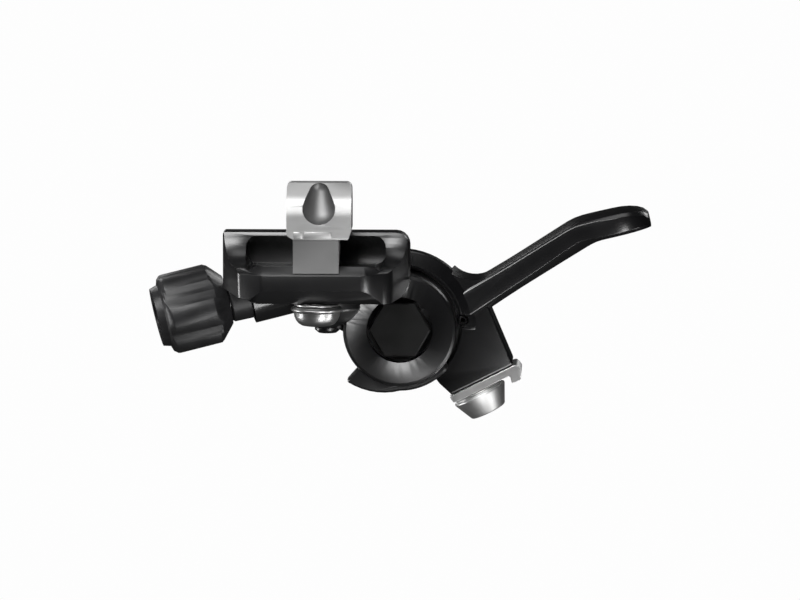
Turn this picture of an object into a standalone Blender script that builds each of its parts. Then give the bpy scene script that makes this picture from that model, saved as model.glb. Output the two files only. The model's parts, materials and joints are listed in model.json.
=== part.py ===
"""Dropper post remote lever: a cast base with a saddle, a thumb lever, a clamp and a barrel adjuster.

The front of the part faces -Y, +X is to the right and +Z is up. The origin is the middle of the
saddle's wall, on its front face. The lever turns about an axis along Y, and turns clockwise as seen
from the front when the thumb presses it.
"""

import math

import bmesh
import bpy
from mathutils import Matrix, Vector

MM = 0.001

# Fits
SEAT_GAP = 0.15 * MM
RUNNING_GAP = 0.2 * MM
CUT_OVERSHOOT = 3.0 * MM
ROUND_STEPS = 64
SMALL_STEPS = 32
CORNER_STEPS = 3

# Saddle block
BLOCK_LENGTH = 30.8 * MM
BLOCK_TOP = 3.2 * MM
BLOCK_BOTTOM = -7.5 * MM
BLOCK_BACK = 4.0 * MM
BLOCK_TAPER = 2.9 * MM
BLOCK_END_CUT = 4.0 * MM
BLOCK_END_CUT_DEPTH = 2.4 * MM
BLOCK_LEFT_ROUND = 1.5 * MM
BLOCK_RIGHT_ROUND = 4.0 * MM
BLOCK_FOOT_CUT = 1.4 * MM
LEDGE_REACH = 11.0 * MM
LEDGE_NOSE_TOP = -2.7 * MM
LEDGE_NOSE_BOTTOM = -5.15 * MM
LEDGE_FOOT = -9.3 * MM
GUIDE_TOP = -1.25 * MM
GUIDE_BACK = -9.15 * MM
GUIDE_FRONT = -9.75 * MM
SADDLE_RADIUS = 6.5 * MM
SADDLE_FLOOR = -1.8 * MM
SLOT_LENGTH = 23.0 * MM
SLOT_TOP = 2.65 * MM
SLOT_BOTTOM = -2.35 * MM
SLOT_DEPTH = 3.0 * MM
SLOT_CORNER = 1.8 * MM
SLOT_FRONT = -9.0 * MM
SLIDE_TRAVEL = 7.2 * MM

# Pivot housing
PIVOT_INSET = 1.74 * MM
PIVOT_DROP = 5.7 * MM
HOUSING_RADIUS = 9.36 * MM
HOUSING_FRONT = 1.0 * MM
HOUSING_BACK = 8.0 * MM
HOUSING_DISH = 0.7 * MM
HOUSING_WALL = 3.9 * MM
COUNTERBORE_DEPTH = 3.2 * MM
LIP_WIDTH = 0.95 * MM
LIP_TIP_WIDTH = 3.1 * MM
LIP_TIP_ANGLE = 224.5
LIP_FRONT = 2.8 * MM

# Web and boss under the block
WEB_FRONT = 2.2 * MM
WEB_BACK = 6.7 * MM
BELLY_X = 1.7 * MM
BELLY_Y = 3.9 * MM
BELLY_RADIUS = 6.1 * MM
BELLY_WAIST = -9.6 * MM
BELLY_BULGE = 0.55 * MM
BELLY_BOTTOM = -13.0 * MM
BELLY_FOOT_RADIUS = 2.1 * MM
BELLY_FOOT_HEIGHT = 0.9 * MM

# Pivot axle and what turns on it
AXLE_RADIUS = 3.0 * MM
AXLE_HEAD_FLATS = 9.0 * MM
AXLE_HEAD_HEIGHT = 2.3 * MM
AXLE_HEAD_CHAMFER = 0.25 * MM
BUSH_WALL = 1.15 * MM
BUSH_FLANGE = 0.5 * MM
BUSH_FLANGE_RADIUS = 5.0 * MM
THRUST_WASHER_THICKNESS = 0.5 * MM
AXLE_WASHER_THICKNESS = 0.6 * MM
NUT_FLATS = 8.0 * MM
NUT_HEIGHT = 2.0 * MM
AXLE_END_PROUD = 0.5 * MM

# Lever hub
HUB_RIM_WIDTH = 2.35 * MM
HUB_REAR_INSET = 0.95 * MM
HUB_CORE_INSET = 3.55 * MM
HUB_FRONT = 6.0 * MM
HUB_FACE = 8.3 * MM
HUB_BACK = 15.0 * MM
HUB_CUP_CLEARANCE = 0.85 * MM
HUB_CUP_LAND = 0.2 * MM
HUB_SLOPE = 1.3 * MM
HUB_CREST = 0.3 * MM
HUB_SECTOR_START = 145.0
HUB_SECTOR_END = 357.0
HUB_CLEARANCE = 0.6 * MM
RIM_CLEARANCE = 0.3 * MM
GROOVE_DEPTH = 1.85 * MM
CABLE_DEPTH = 11.6 * MM
CABLE_HOLE_RADIUS = 1.1 * MM
GROOVE_HALF_WIDTH = 1.0 * MM
GROOVE_FLARE = 0.35 * MM
SPRING_POCKET_INNER = 5.4 * MM
SPRING_POCKET_OUTER = 7.9 * MM
SPRING_POCKET_FLOOR = 12.4 * MM

# Lever arm and paddle
ARM_ANGLE = 32.3
ARM_OFFSET = -3.09 * MM
ARM_START = 9.5 * MM
ARM_STRAIGHT_END = 32.0 * MM
ARM_BEND_ANGLE = 18.8
ARM_BEND_RADIUS = 14.0 * MM
PADDLE_LENGTH = 8.4 * MM
ARM_ROOT_THICKNESS = 5.0 * MM
ARM_THICKNESS = 4.45 * MM
PADDLE_THICKNESS = 3.65 * MM
ARM_ROOT_WIDTH = 9.4 * MM
ARM_WIDTH = 9.4 * MM
PADDLE_WIDTH = 11.8 * MM
ARM_TOP_CHAMFER = 0.35 * MM
ARM_FOOT_CHAMFER = 1.05 * MM
PADDLE_EDGE = 0.6 * MM
ARM_EDGE_ROUND = 0.12 * MM
ROOT_FILLET = 5.0 * MM

# Clamp lobe, in its own directions: along the clamp face, and out of it
LOBE_ANGLE = 26.3
LOBE_REACH = 1.55 * MM
LOBE_LEFT = -4.0 * MM
LOBE_RIGHT = 7.43 * MM
LOBE_WIDTH = 8.4 * MM
LOBE_EDGE = 0.8 * MM
PINCH_TO_CABLE = 4.28 * MM

# Cable clamp
PINCH_WASHER_THICKNESS = 1.25 * MM
PINCH_WASHER_WIDTH = 8.2 * MM
PINCH_WASHER_OVERHANG = 0.7 * MM
PINCH_TAB_LENGTH = 1.45 * MM
PINCH_SHANK_RADIUS = 2.0 * MM
PINCH_SHANK_LENGTH = 7.0 * MM
PINCH_HEAD_RADIUS = 4.6 * MM
PINCH_HEAD_END_RADIUS = 3.1 * MM
PINCH_HEAD_HEIGHT = 3.6 * MM
PINCH_FLANGE_RADIUS = 4.1 * MM
PINCH_FLANGE_HEIGHT = 0.5 * MM
SOCKET_FLATS = 4.0 * MM
SOCKET_DEPTH = 2.2 * MM

# Pin and return spring
PIN_RADIUS = 0.75 * MM
PIN_BORE_RADIUS = 0.4 * MM
PIN_LENGTH = 2.9 * MM
PIN_ANGLE = 5.0
PIN_INSET = 2.26 * MM
PIN_RECESS = 1.3 * MM
PIN_HOLE_RADIUS = 1.15 * MM
PIN_HOLE_DEPTH = 1.6 * MM
SPRING_WIRE_RADIUS = 0.55 * MM
SPRING_RADIUS = 6.65 * MM
SPRING_TURNS = 2.25
SPRING_LEG = 1.9 * MM
SPRING_LEG_BEND = 0.6 * MM
SPRING_START_ANGLE = 200.0

# Clamp bracket
BRACKET_X = 0.38 * MM
NECK_WIDTH = 7.46 * MM
NECK_FRONT = -10.9 * MM
NECK_BACK = -4.4 * MM
HEAD_WIDTH = 10.6 * MM
HEAD_OFFSET = 0.52 * MM
HEAD_TOP = 12.45 * MM
HEAD_BOTTOM = 4.85 * MM
HEAD_FRONT = -11.55 * MM
HEAD_CROWN_BACK = -6.2 * MM
HEAD_CORNER = 1.0 * MM
BAND_BOTTOM = 3.3 * MM
BAND_REACH = 0.25 * MM
TONGUE_LENGTH = 6.5 * MM
TEARDROP_RADIUS = 2.7 * MM
TEARDROP_TIP_RADIUS = 1.5 * MM
TEARDROP_CENTRE = 8.45 * MM
TEARDROP_LENGTH = 3.6 * MM
TEARDROP_LEAN = 38.0

# Clamp bolt and washer
CLAMP_BOLT_Y = -6.7 * MM
CLAMP_BOLT_RADIUS = 2.0 * MM
CLAMP_BOLT_LENGTH = 10.0 * MM
CLAMP_WASHER_RADIUS = 3.75 * MM
CLAMP_WASHER_THICKNESS = 0.35 * MM
DOME_RADIUS = 4.3 * MM
DOME_WAIST_RADIUS = 3.8 * MM
DOME_END_RADIUS = 1.95 * MM
DOME_HEIGHT = 2.3 * MM
DOME_RIM = 0.9 * MM
CLAMP_SOCKET_FLATS = 3.0 * MM
CLAMP_SOCKET_DEPTH = 2.0 * MM

# Barrel adjuster, along its own axis from the knob's outer end
ADJUSTER_REACH = 11.3 * MM
ADJUSTER_DEPTH = 5.8 * MM
ADJUSTER_DROP = 4.3 * MM
ADJUSTER_DIRECTION = Vector((0.9615, 0.149, 0.2308)).normalized()
KNOB_RADIUS = 6.95 * MM
KNOB_LOBES = 6
KNOB_LOBE_CENTRE = 3.7 * MM
KNOB_LENGTH = 12.1 * MM
KNOB_FACE_RADIUS = 4.85 * MM
KNOB_NECK_RADIUS = 5.2 * MM
KNOB_NECK_LENGTH = 1.2 * MM
KNOB_SHOULDER = 2.4 * MM
KNOB_TAPER_START = 9.5 * MM
KNOB_END_RADIUS = 4.1 * MM
KNOB_LIP = 1.0 * MM
KNOB_STEPS_PER_LOBE = 8
HOUSING_SEAT_RADIUS = 2.2 * MM
HOUSING_SEAT_DEPTH = 9.5 * MM
BARREL_HEAD_RADIUS = 3.5 * MM
BARREL_HEAD_END = 11.9 * MM
BARREL_THREAD_RADIUS = 2.5 * MM
BARREL_END = 24.2 * MM
COLLAR_START = 12.25 * MM
COLLAR_END = 15.7 * MM
COLLAR_RADIUS = 3.85 * MM
COLLAR_END_RADIUS = 3.95 * MM
COLLAR_WALL = 0.4 * MM
COLLAR_SHOULDER = 0.6 * MM
BOSS_START = 15.85 * MM
BOSS_RADIUS = 4.9 * MM
BOSS_INSIDE_BLOCK = 0.4 * MM
BOSS_THREAD_END = 25.7 * MM
ADJUSTER_SPRING_WIRE = 0.25 * MM
ADJUSTER_SPRING_TURNS = 2.0

# Finishes: colour, roughness, metallic
FINISHES = {
    "cast_black": ((0.018, 0.018, 0.019), 0.38, 0.6),
    "lever_black": ((0.014, 0.014, 0.015), 0.3, 0.6),
    "bright_steel": ((0.66, 0.66, 0.65), 0.28, 1.0),
    "satin_steel": ((0.72, 0.72, 0.71), 0.42, 1.0),
    "black_steel": ((0.02, 0.02, 0.02), 0.35, 0.8),
    "knob_plastic": ((0.045, 0.045, 0.046), 0.6, 0.0),
    "bronze": ((0.45, 0.3, 0.14), 0.4, 1.0),
    "washer_plastic": ((0.75, 0.74, 0.7), 0.5, 0.0),
    "spring_steel": ((0.35, 0.35, 0.36), 0.35, 1.0),
}

PLANES = {
    "XZ": (Vector((1, 0, 0)), Vector((0, 0, 1)), Vector((0, 1, 0))),
    "YZ": (Vector((0, 1, 0)), Vector((0, 0, 1)), Vector((1, 0, 0))),
    "XY": (Vector((1, 0, 0)), Vector((0, 1, 0)), Vector((0, 0, 1))),
}
TURNED_ALONG_Y = Matrix.Rotation(-math.pi / 2, 4, "X")

# Sizes and places that follow from the ones above
PIVOT_X = BLOCK_LENGTH / 2 - PIVOT_INSET
PIVOT_Z = BLOCK_BOTTOM - PIVOT_DROP
COUNTERBORE_RADIUS = HOUSING_RADIUS - HOUSING_WALL
LIP_RADIUS = HOUSING_RADIUS + LIP_WIDTH
LIP_TIP_RADIUS = HOUSING_RADIUS + LIP_TIP_WIDTH
HUB_CUP_RADIUS = HOUSING_RADIUS + HUB_CUP_CLEARANCE
HUB_RADIUS = HUB_CUP_RADIUS + HUB_RIM_WIDTH
HUB_REAR_RADIUS = HUB_RADIUS - HUB_REAR_INSET
HUB_CORE_RADIUS = HUB_RADIUS - HUB_CORE_INSET
CABLE_RADIUS = HUB_RADIUS - GROOVE_DEPTH
PINCH_OFFSET = CABLE_RADIUS - PINCH_TO_CABLE
LOBE_FACE = HUB_RADIUS + LOBE_REACH
PIN_PLACE_RADIUS = HUB_RADIUS - PIN_INSET
ADJUSTER_END = Vector((-BLOCK_LENGTH / 2 - ADJUSTER_REACH, ADJUSTER_DEPTH, BLOCK_BOTTOM - ADJUSTER_DROP))
BOSS_LENGTH = BLOCK_LENGTH / 2 - BOSS_INSIDE_BLOCK
COUNTERBORE_FLOOR = HOUSING_FRONT + COUNTERBORE_DEPTH
FRONT_WASHER_Y = HOUSING_BACK + SEAT_GAP
FRONT_FLANGE_Y = FRONT_WASHER_Y + THRUST_WASHER_THICKNESS + SEAT_GAP
BORE_FACE_Y = FRONT_FLANGE_Y + BUSH_FLANGE + SEAT_GAP
REAR_FLANGE_Y = HUB_BACK + SEAT_GAP
REAR_WASHER_Y = REAR_FLANGE_Y + BUSH_FLANGE + SEAT_GAP
AXLE_WASHER_Y = REAR_WASHER_Y + THRUST_WASHER_THICKNESS + SEAT_GAP
NUT_Y = AXLE_WASHER_Y + AXLE_WASHER_THICKNESS + SEAT_GAP
AXLE_END_Y = NUT_Y + NUT_HEIGHT + AXLE_END_PROUD
BUSH_BORE_RADIUS = AXLE_RADIUS + RUNNING_GAP
BUSH_RADIUS = BUSH_BORE_RADIUS + BUSH_WALL
HUB_BORE_RADIUS = BUSH_RADIUS + SEAT_GAP
GUIDE_SLOPE = (GUIDE_TOP - LEDGE_NOSE_TOP) / (LEDGE_REACH + GUIDE_FRONT)
NECK_FOOT = GUIDE_TOP + RUNNING_GAP
NECK_SKIRT = LEDGE_NOSE_TOP + GUIDE_SLOPE * (LEDGE_REACH + NECK_FRONT) + RUNNING_GAP * math.hypot(1, GUIDE_SLOPE)
CLAMP_WASHER_TOP = BLOCK_BOTTOM - SEAT_GAP
DOME_TOP = CLAMP_WASHER_TOP - CLAMP_WASHER_THICKNESS - SEAT_GAP
PINCH_WASHER_START = LOBE_FACE + SEAT_GAP
PINCH_FLANGE_START = PINCH_WASHER_START + PINCH_WASHER_THICKNESS + SEAT_GAP
PINCH_HEAD_START = PINCH_FLANGE_START + PINCH_FLANGE_HEIGHT


def clear_scene():
    """Removes what a new file holds."""
    for thing in list(bpy.data.objects):
        bpy.data.objects.remove(thing, do_unlink=True)


def collection_named(name):
    made = bpy.data.collections.new(name)
    bpy.context.scene.collection.children.link(made)
    return made


def make_finish(name):
    colour, roughness, metallic = FINISHES[name]
    finish = bpy.data.materials.new(name)
    finish.use_nodes = True
    shader = finish.node_tree.nodes["Principled BSDF"]
    shader.inputs["Base Color"].default_value = (*colour, 1.0)
    shader.inputs["Roughness"].default_value = roughness
    shader.inputs["Metallic"].default_value = metallic
    finish.diffuse_color = (*colour, 1.0)
    return finish


clear_scene()
PARTS = collection_named("dropper_remote_lever")
CUTTERS = collection_named("cutters")
MATERIALS = {name: make_finish(name) for name in FINISHES}


def add_empty(name, matrix):
    """A guide that carries the pieces of one axis."""
    guide = bpy.data.objects.new(name, None)
    guide.empty_display_size = 5 * MM
    guide.matrix_basis = matrix
    CUTTERS.objects.link(guide)
    return guide


def add_object(name, data, carrier=None, matrix=None, finish=None):
    """Links an object: a named piece of the part if it has a finish, else a cutter or a lump."""
    thing = bpy.data.objects.new(name, data)
    thing.parent = carrier
    thing.matrix_basis = matrix or Matrix()
    if finish:
        data.materials.append(MATERIALS[finish])
        PARTS.objects.link(thing)
    else:
        thing.hide_render = True
        thing.display_type = "WIRE"
        CUTTERS.objects.link(thing)
    return thing


def mesh_of(name, bm, recalculate=True):
    if recalculate:
        bmesh.ops.recalc_face_normals(bm, faces=bm.faces)
    mesh = bpy.data.meshes.new(name)
    bm.to_mesh(mesh)
    bm.free()
    mesh.shade_smooth()
    mesh.set_sharp_from_angle(angle=math.radians(35))
    return mesh


def outline_signed_area(points):
    pairs = zip(points, points[1:] + points[:1])
    return sum(a[0] * b[1] - b[0] * a[1] for a, b in pairs) / 2


def arc(centre, radius, start, end, steps):
    """Points on a circle, from the start angle to the end angle in degrees."""
    turns = [math.radians(start + (end - start) * i / steps) for i in range(steps + 1)]
    return [(centre[0] + radius * math.cos(t), centre[1] + radius * math.sin(t)) for t in turns]


def rounded(corners, steps=CORNER_STEPS):
    """An outline through the corners (a, b, radius), each rounded by its own radius."""
    points = []
    count = len(corners)
    for index, (a, b, radius) in enumerate(corners):
        here = Vector((a, b))
        if radius <= 0:
            points.append((a, b))
            continue
        before = (Vector(corners[index - 1][:2]) - here).normalized()
        after = (Vector(corners[(index + 1) % count][:2]) - here).normalized()
        half = before.angle(after) / 2
        centre = here + (before + after).normalized() * radius / math.sin(half)
        reach = radius / math.tan(half)
        first = here + before * reach - centre
        sweep = first.angle_signed(here + after * reach - centre)
        for step in range(steps + 1):
            spoke = Matrix.Rotation(-sweep * step / steps, 2) @ first
            points.append(tuple(centre + spoke))
    return points


def extruded(name, outline, plane, start, end, **placing):
    """A flat outline drawn in a plane and extruded through it from start to end."""
    along_a, along_b, through = PLANES[plane]
    bm = bmesh.new()
    ring = [bm.verts.new(a * along_a + b * along_b + start * through) for a, b in outline]
    edges = [bm.edges.new(pair) for pair in zip(ring, ring[1:] + ring[:1])]
    bmesh.ops.edgeloop_fill(bm, edges=edges)
    grown = bmesh.ops.extrude_face_region(bm, geom=bm.faces[:])
    far = [item for item in grown["geom"] if isinstance(item, bmesh.types.BMVert)]
    bmesh.ops.translate(bm, vec=(end - start) * through, verts=far)
    return add_object(name, mesh_of(name, bm), **placing)


def turned(name, profile, steps=ROUND_STEPS, closed=True, **placing):
    """A profile of (radius, height) turned about the object's Z axis with a Screw modifier."""
    if outline_signed_area(profile) > 0:
        profile = profile[::-1]
    bm = bmesh.new()
    ring = [bm.verts.new((radius, 0, height)) for radius, height in profile]
    followers = ring[1:] + ring[:1] if closed else ring[1:]
    for pair in zip(ring, followers):
        bm.edges.new(pair)
    mesh = bpy.data.meshes.new(name)
    bm.to_mesh(mesh)
    bm.free()
    thing = add_object(name, mesh, **placing)
    screw = thing.modifiers.new("turn", "SCREW")
    screw.steps = steps
    screw.render_steps = steps
    screw.use_merge_vertices = True
    screw.merge_threshold = 0.002 * MM
    screw.use_smooth_shade = True
    return thing


def cylinder(name, radius, start, end, steps=SMALL_STEPS, **placing):
    """A plain cylinder along the object's Z axis."""
    bm = bmesh.new()
    bmesh.ops.create_cone(bm, cap_ends=True, segments=steps, radius1=radius, radius2=radius,
                          depth=end - start, matrix=Matrix.Translation((0, 0, (start + end) / 2)))
    return add_object(name, mesh_of(name, bm), **placing)


def hexagon(name, flats, start, end, chamfer=0.0, **placing):
    """A hexagonal prism along the object's Z axis, with corners on its X axis."""
    bm = bmesh.new()
    radius = flats / math.sqrt(3)
    bmesh.ops.create_cone(bm, cap_ends=True, segments=6, radius1=radius, radius2=radius,
                          depth=end - start, matrix=Matrix.Translation((0, 0, (start + end) / 2)))
    turn = Matrix.Rotation(math.atan2(bm.verts[:][0].co.y, bm.verts[:][0].co.x), 3, "Z")
    bmesh.ops.rotate(bm, matrix=turn.inverted(), verts=bm.verts)
    if chamfer:
        rim = [e for e in bm.edges if all(abs(v.co.z - start) < 0.01 * MM for v in e.verts)]
        bmesh.ops.bevel(bm, geom=rim, offset=chamfer, segments=1, affect="EDGES", profile=0.5)
    return add_object(name, mesh_of(name, bm), **placing)


def lofted(name, sections, **placing):
    """A closed skin over sections that have the same number of points, with flat ends."""
    bm = bmesh.new()
    rings = [[bm.verts.new(point) for point in section] for section in sections]
    for lower, upper in zip(rings, rings[1:]):
        for i in range(len(lower)):
            after = (i + 1) % len(lower)
            bm.faces.new((lower[i], lower[after], upper[after], upper[i]))
    bm.faces.new(rings[0])
    bm.faces.new(rings[-1])
    return add_object(name, mesh_of(name, bm), **placing)


def wire(name, points, radius, **placing):
    """A round wire through the points."""
    curve = bpy.data.curves.new(name, "CURVE")
    curve.dimensions = "3D"
    curve.bevel_depth = radius
    curve.bevel_resolution = 2
    curve.use_fill_caps = True
    spline = curve.splines.new("POLY")
    spline.points.add(len(points) - 1)
    for place, point in zip(spline.points, points):
        place.co = (*point, 1.0)
    return add_object(name, curve, **placing)


def shape_with(target, tool, operation):
    """Adds one Boolean to the target: UNION, DIFFERENCE or INTERSECT with the tool."""
    step = target.modifiers.new(tool.name, "BOOLEAN")
    step.operation = operation
    step.object = tool
    step.solver = "EXACT"
    return target


def round_edges(target, width, segments=2, angle=30):
    bevel = target.modifiers.new("round", "BEVEL")
    bevel.width = width
    bevel.segments = segments
    bevel.limit_method = "ANGLE"
    bevel.angle_limit = math.radians(angle)
    bevel.use_clamp_overlap = True
    return bevel


PIVOT = add_empty("pivot_axis", Matrix.Translation((PIVOT_X, 0, PIVOT_Z)))
LOBE_ALONG = Vector((math.cos(math.radians(LOBE_ANGLE)), 0, math.sin(math.radians(LOBE_ANGLE))))
LOBE_OUT = Vector((LOBE_ALONG.z, 0, -LOBE_ALONG.x))
LOBE_TURN = Matrix((LOBE_ALONG, LOBE_OUT.cross(LOBE_ALONG), LOBE_OUT)).transposed().to_4x4()
PINCH_AXIS = add_empty(
    "pinch_axis",
    Matrix.Translation(Vector((PIVOT_X, CABLE_DEPTH, PIVOT_Z)) + LOBE_ALONG * PINCH_OFFSET) @ LOBE_TURN,
)
CLAMP_AXIS = add_empty("clamp_axis", Matrix.Translation((BRACKET_X, 0, 0)))
ADJUSTER_AXIS = add_empty(
    "adjuster_axis",
    Matrix.Translation(ADJUSTER_END) @ ADJUSTER_DIRECTION.to_track_quat("Z", "Y").to_matrix().to_4x4(),
)


def saddle_block():
    """The block as its side profile, its plan and its front outline in one another."""
    half = BLOCK_LENGTH / 2
    saddle_centre = (-SADDLE_RADIUS, SADDLE_FLOOR + SADDLE_RADIUS)
    lip_angle = math.degrees(math.asin((BLOCK_TOP - saddle_centre[1]) / SADDLE_RADIUS))
    side = [
        (BLOCK_BACK, BLOCK_BOTTOM),
        (BLOCK_BACK, BLOCK_TOP),
        *arc(saddle_centre, SADDLE_RADIUS, lip_angle, -90, 10),
        (GUIDE_BACK + (GUIDE_TOP - SADDLE_FLOOR) * 0.7, SADDLE_FLOOR),
        (GUIDE_BACK, GUIDE_TOP),
        (GUIDE_FRONT, GUIDE_TOP),
        (-LEDGE_REACH, LEDGE_NOSE_TOP),
        (-LEDGE_REACH, LEDGE_NOSE_BOTTOM),
        (LEDGE_FOOT, BLOCK_BOTTOM),
    ]
    block = extruded("base_body", side, "YZ", -half, half, finish="cast_black")
    cut_start = -LEDGE_REACH + BLOCK_END_CUT_DEPTH
    plan_half = [
        (half, BLOCK_BACK + CUT_OVERSHOOT, 0),
        (half, 0.5 * MM, 6.0 * MM),
        (half - BLOCK_TAPER, cut_start, BLOCK_RIGHT_ROUND),
        (half - BLOCK_TAPER - BLOCK_END_CUT, -LEDGE_REACH - 0.01 * MM, BLOCK_RIGHT_ROUND),
    ]
    plan = plan_half + [(-x, y, min(r, BLOCK_LEFT_ROUND)) for x, y, r in reversed(plan_half)]
    plan_tool = extruded("block_plan", rounded(plan, 5), "XY", BLOCK_BOTTOM - CUT_OVERSHOOT,
                         BLOCK_TOP + CUT_OVERSHOOT)
    front = [
        (-half, BLOCK_TOP, 0.5 * MM),
        (-half, BLOCK_BOTTOM + BLOCK_FOOT_CUT, 0.5 * MM),
        (-half + 4.0 * MM, BLOCK_BOTTOM + 0.8 * MM, 1.0 * MM),
        (-half + 6.1 * MM, BLOCK_BOTTOM - 0.01 * MM, 0),
        (half - 3.0 * MM, BLOCK_BOTTOM - 0.01 * MM, 0),
        (half - 1.3 * MM, BLOCK_BOTTOM + 0.5 * MM, 0.5 * MM),
        (half, BLOCK_BOTTOM + 2.2 * MM, 1.0 * MM),
        (half, BLOCK_TOP, 2.3 * MM),
    ]
    front_tool = extruded("block_front", rounded(front, 5), "XZ", -LEDGE_REACH - CUT_OVERSHOOT,
                          BLOCK_BACK + CUT_OVERSHOOT)
    shape_with(block, plan_tool, "INTERSECT")
    shape_with(block, front_tool, "INTERSECT")
    slot = [
        (-SLOT_LENGTH / 2, SLOT_BOTTOM, SLOT_CORNER),
        (SLOT_LENGTH / 2, SLOT_BOTTOM, SLOT_CORNER),
        (SLOT_LENGTH / 2, SLOT_TOP, SLOT_CORNER),
        (-SLOT_LENGTH / 2, SLOT_TOP, SLOT_CORNER),
    ]
    pocket = extruded("slot_pocket", rounded(slot, 5), "XZ", SLOT_FRONT, SLOT_DEPTH)
    for tool in (pocket, end_slope(-1), end_slope(1)):
        shape_with(block, tool, "DIFFERENCE")
    round_edges(block, 0.25 * MM)
    return block


def end_slope(side):
    """The tool that carries the ledge's front slope round one cut corner of the plan."""
    half = BLOCK_LENGTH / 2
    outer = Vector((side * (half - BLOCK_TAPER), BLOCK_END_CUT_DEPTH - LEDGE_REACH, LEDGE_NOSE_TOP))
    inner = Vector((side * (half - BLOCK_TAPER - BLOCK_END_CUT), -LEDGE_REACH, LEDGE_NOSE_TOP))
    along = (outer - inner).normalized()
    inward = Vector((-side * along.y, abs(along.x), 0)) * CUT_OVERSHOOT
    rise = Vector((0, 0, GUIDE_SLOPE * CUT_OVERSHOOT))
    sections = [
        [middle - inward - rise, middle + inward + rise, middle - inward + rise]
        for middle in (inner - along * CUT_OVERSHOOT, outer + along * CUT_OVERSHOOT)
    ]
    return lofted("end_slope", sections)


def bolt_slot():
    """The slot through the ledge that lets the clamp bolt slide."""
    reach = SLIDE_TRAVEL + CLAMP_BOLT_RADIUS + RUNNING_GAP + abs(BRACKET_X)
    half = CLAMP_BOLT_RADIUS + RUNNING_GAP
    centre = CLAMP_BOLT_Y
    corners = [
        (-reach, centre - half, half * 0.98),
        (reach, centre - half, half * 0.98),
        (reach, centre + half, half * 0.98),
        (-reach, centre + half, half * 0.98),
    ]
    return extruded("bolt_slot", rounded(corners, 8), "XY", BLOCK_BOTTOM - CUT_OVERSHOOT, CUT_OVERSHOOT)


def pivot_housing():
    """The dished disc that the axle runs through."""
    dish_edge = HOUSING_FRONT + HOUSING_DISH
    profile = [
        (0, dish_edge),
        (COUNTERBORE_RADIUS, dish_edge),
        (HOUSING_RADIUS - 0.6 * MM, HOUSING_FRONT),
        (HOUSING_RADIUS - 0.2 * MM, HOUSING_FRONT + 0.25 * MM),
        (HOUSING_RADIUS, HOUSING_FRONT + 0.7 * MM),
        (HOUSING_RADIUS, HOUSING_BACK),
        (0, HOUSING_BACK),
    ]
    return turned("pivot_housing", profile, closed=False, carrier=PIVOT, matrix=TURNED_ALONG_Y)


def axle_hole():
    """The counterbore for the axle's head, and the bore behind it."""
    profile = [
        (0, -LEDGE_REACH),
        (COUNTERBORE_RADIUS, -LEDGE_REACH),
        (COUNTERBORE_RADIUS, COUNTERBORE_FLOOR),
        (BUSH_BORE_RADIUS, COUNTERBORE_FLOOR),
        (BUSH_BORE_RADIUS, HUB_BACK),
        (0, HUB_BACK),
    ]
    return turned("axle_hole", profile, closed=False, carrier=PIVOT, matrix=TURNED_ALONG_Y)


def crescent_lip():
    """The lip under the housing, which runs out into a pointed tip on the left."""
    foot = 270.0
    outline = []
    for share in (i / 7 for i in range(7)):
        angle = math.radians(LIP_TIP_ANGLE + (foot - LIP_TIP_ANGLE) * share)
        radius = LIP_TIP_RADIUS + (LIP_RADIUS - LIP_TIP_RADIUS) * share
        outline.append((radius * math.cos(angle), radius * math.sin(angle)))
    outline += arc((0, 0), LIP_RADIUS, foot, 321, 10)
    outline += arc((0, 0), HOUSING_RADIUS - 1.0 * MM, 326, LIP_TIP_ANGLE - 2, 14)
    lip = extruded("crescent_lip", outline, "XZ", LIP_FRONT, WEB_BACK, carrier=PIVOT)
    round_edges(lip, 0.35 * MM, segments=1, angle=60)
    return lip


def belly():
    """The bowl-shaped boss behind the clamp bolt, with its small foot."""
    top = BLOCK_BOTTOM + 1.0 * MM
    profile = [
        (0, top, 0),
        (BELLY_RADIUS, top, 0),
        (BELLY_RADIUS, BELLY_WAIST, 1.0 * MM),
        ((BELLY_RADIUS + BELLY_FOOT_RADIUS) / 2 + BELLY_BULGE, (BELLY_WAIST + BELLY_BOTTOM) / 2 - BELLY_BULGE, 3.5 * MM),
        (BELLY_FOOT_RADIUS, BELLY_BOTTOM, 0),
        (BELLY_FOOT_RADIUS, BELLY_BOTTOM - 0.4 * MM, 0),
        (BELLY_FOOT_RADIUS - 0.6 * MM, BELLY_BOTTOM - BELLY_FOOT_HEIGHT, 0),
        (0, BELLY_BOTTOM - BELLY_FOOT_HEIGHT, 0),
    ]
    place = Matrix.Translation((BELLY_X, BELLY_Y, 0))
    return turned("belly", rounded(profile, 4), steps=40, closed=False, matrix=place)


def web():
    """The wall that joins the block and the belly to the housing."""
    outline = [
        (BELLY_X, BLOCK_BOTTOM + 1.0 * MM, 0),
        (BELLY_X + 0.5 * MM, BELLY_BOTTOM + 0.6 * MM, 0),
        (PIVOT_X - HOUSING_RADIUS * 0.86, PIVOT_Z - 1.0 * MM, 1.5 * MM),
        (PIVOT_X, PIVOT_Z, 0),
        (PIVOT_X + HOUSING_RADIUS * 0.2, PIVOT_Z + HOUSING_RADIUS * 0.94, 0),
        (BLOCK_LENGTH / 2 - 2.0 * MM, BLOCK_BOTTOM + 3.0 * MM, 0),
    ]
    return extruded("web", rounded(outline), "XZ", WEB_FRONT, WEB_BACK)


def back_wall():
    """The wall behind the block that carries the cable boss."""
    half = BLOCK_LENGTH / 2
    outline = [
        (-half + 4.8 * MM, BLOCK_BOTTOM + 1.2 * MM, 0.8 * MM),
        (half - 3.0 * MM, BLOCK_BOTTOM + 0.2 * MM, 0.8 * MM),
        (half - 1.5 * MM, -1.2 * MM, 1.5 * MM),
        (-half + 5.6 * MM, -1.2 * MM, 1.5 * MM),
    ]
    return extruded("back_wall", rounded(outline), "XZ", BLOCK_BACK - 1.0 * MM, BLOCK_BACK + 4.0 * MM)


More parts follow.
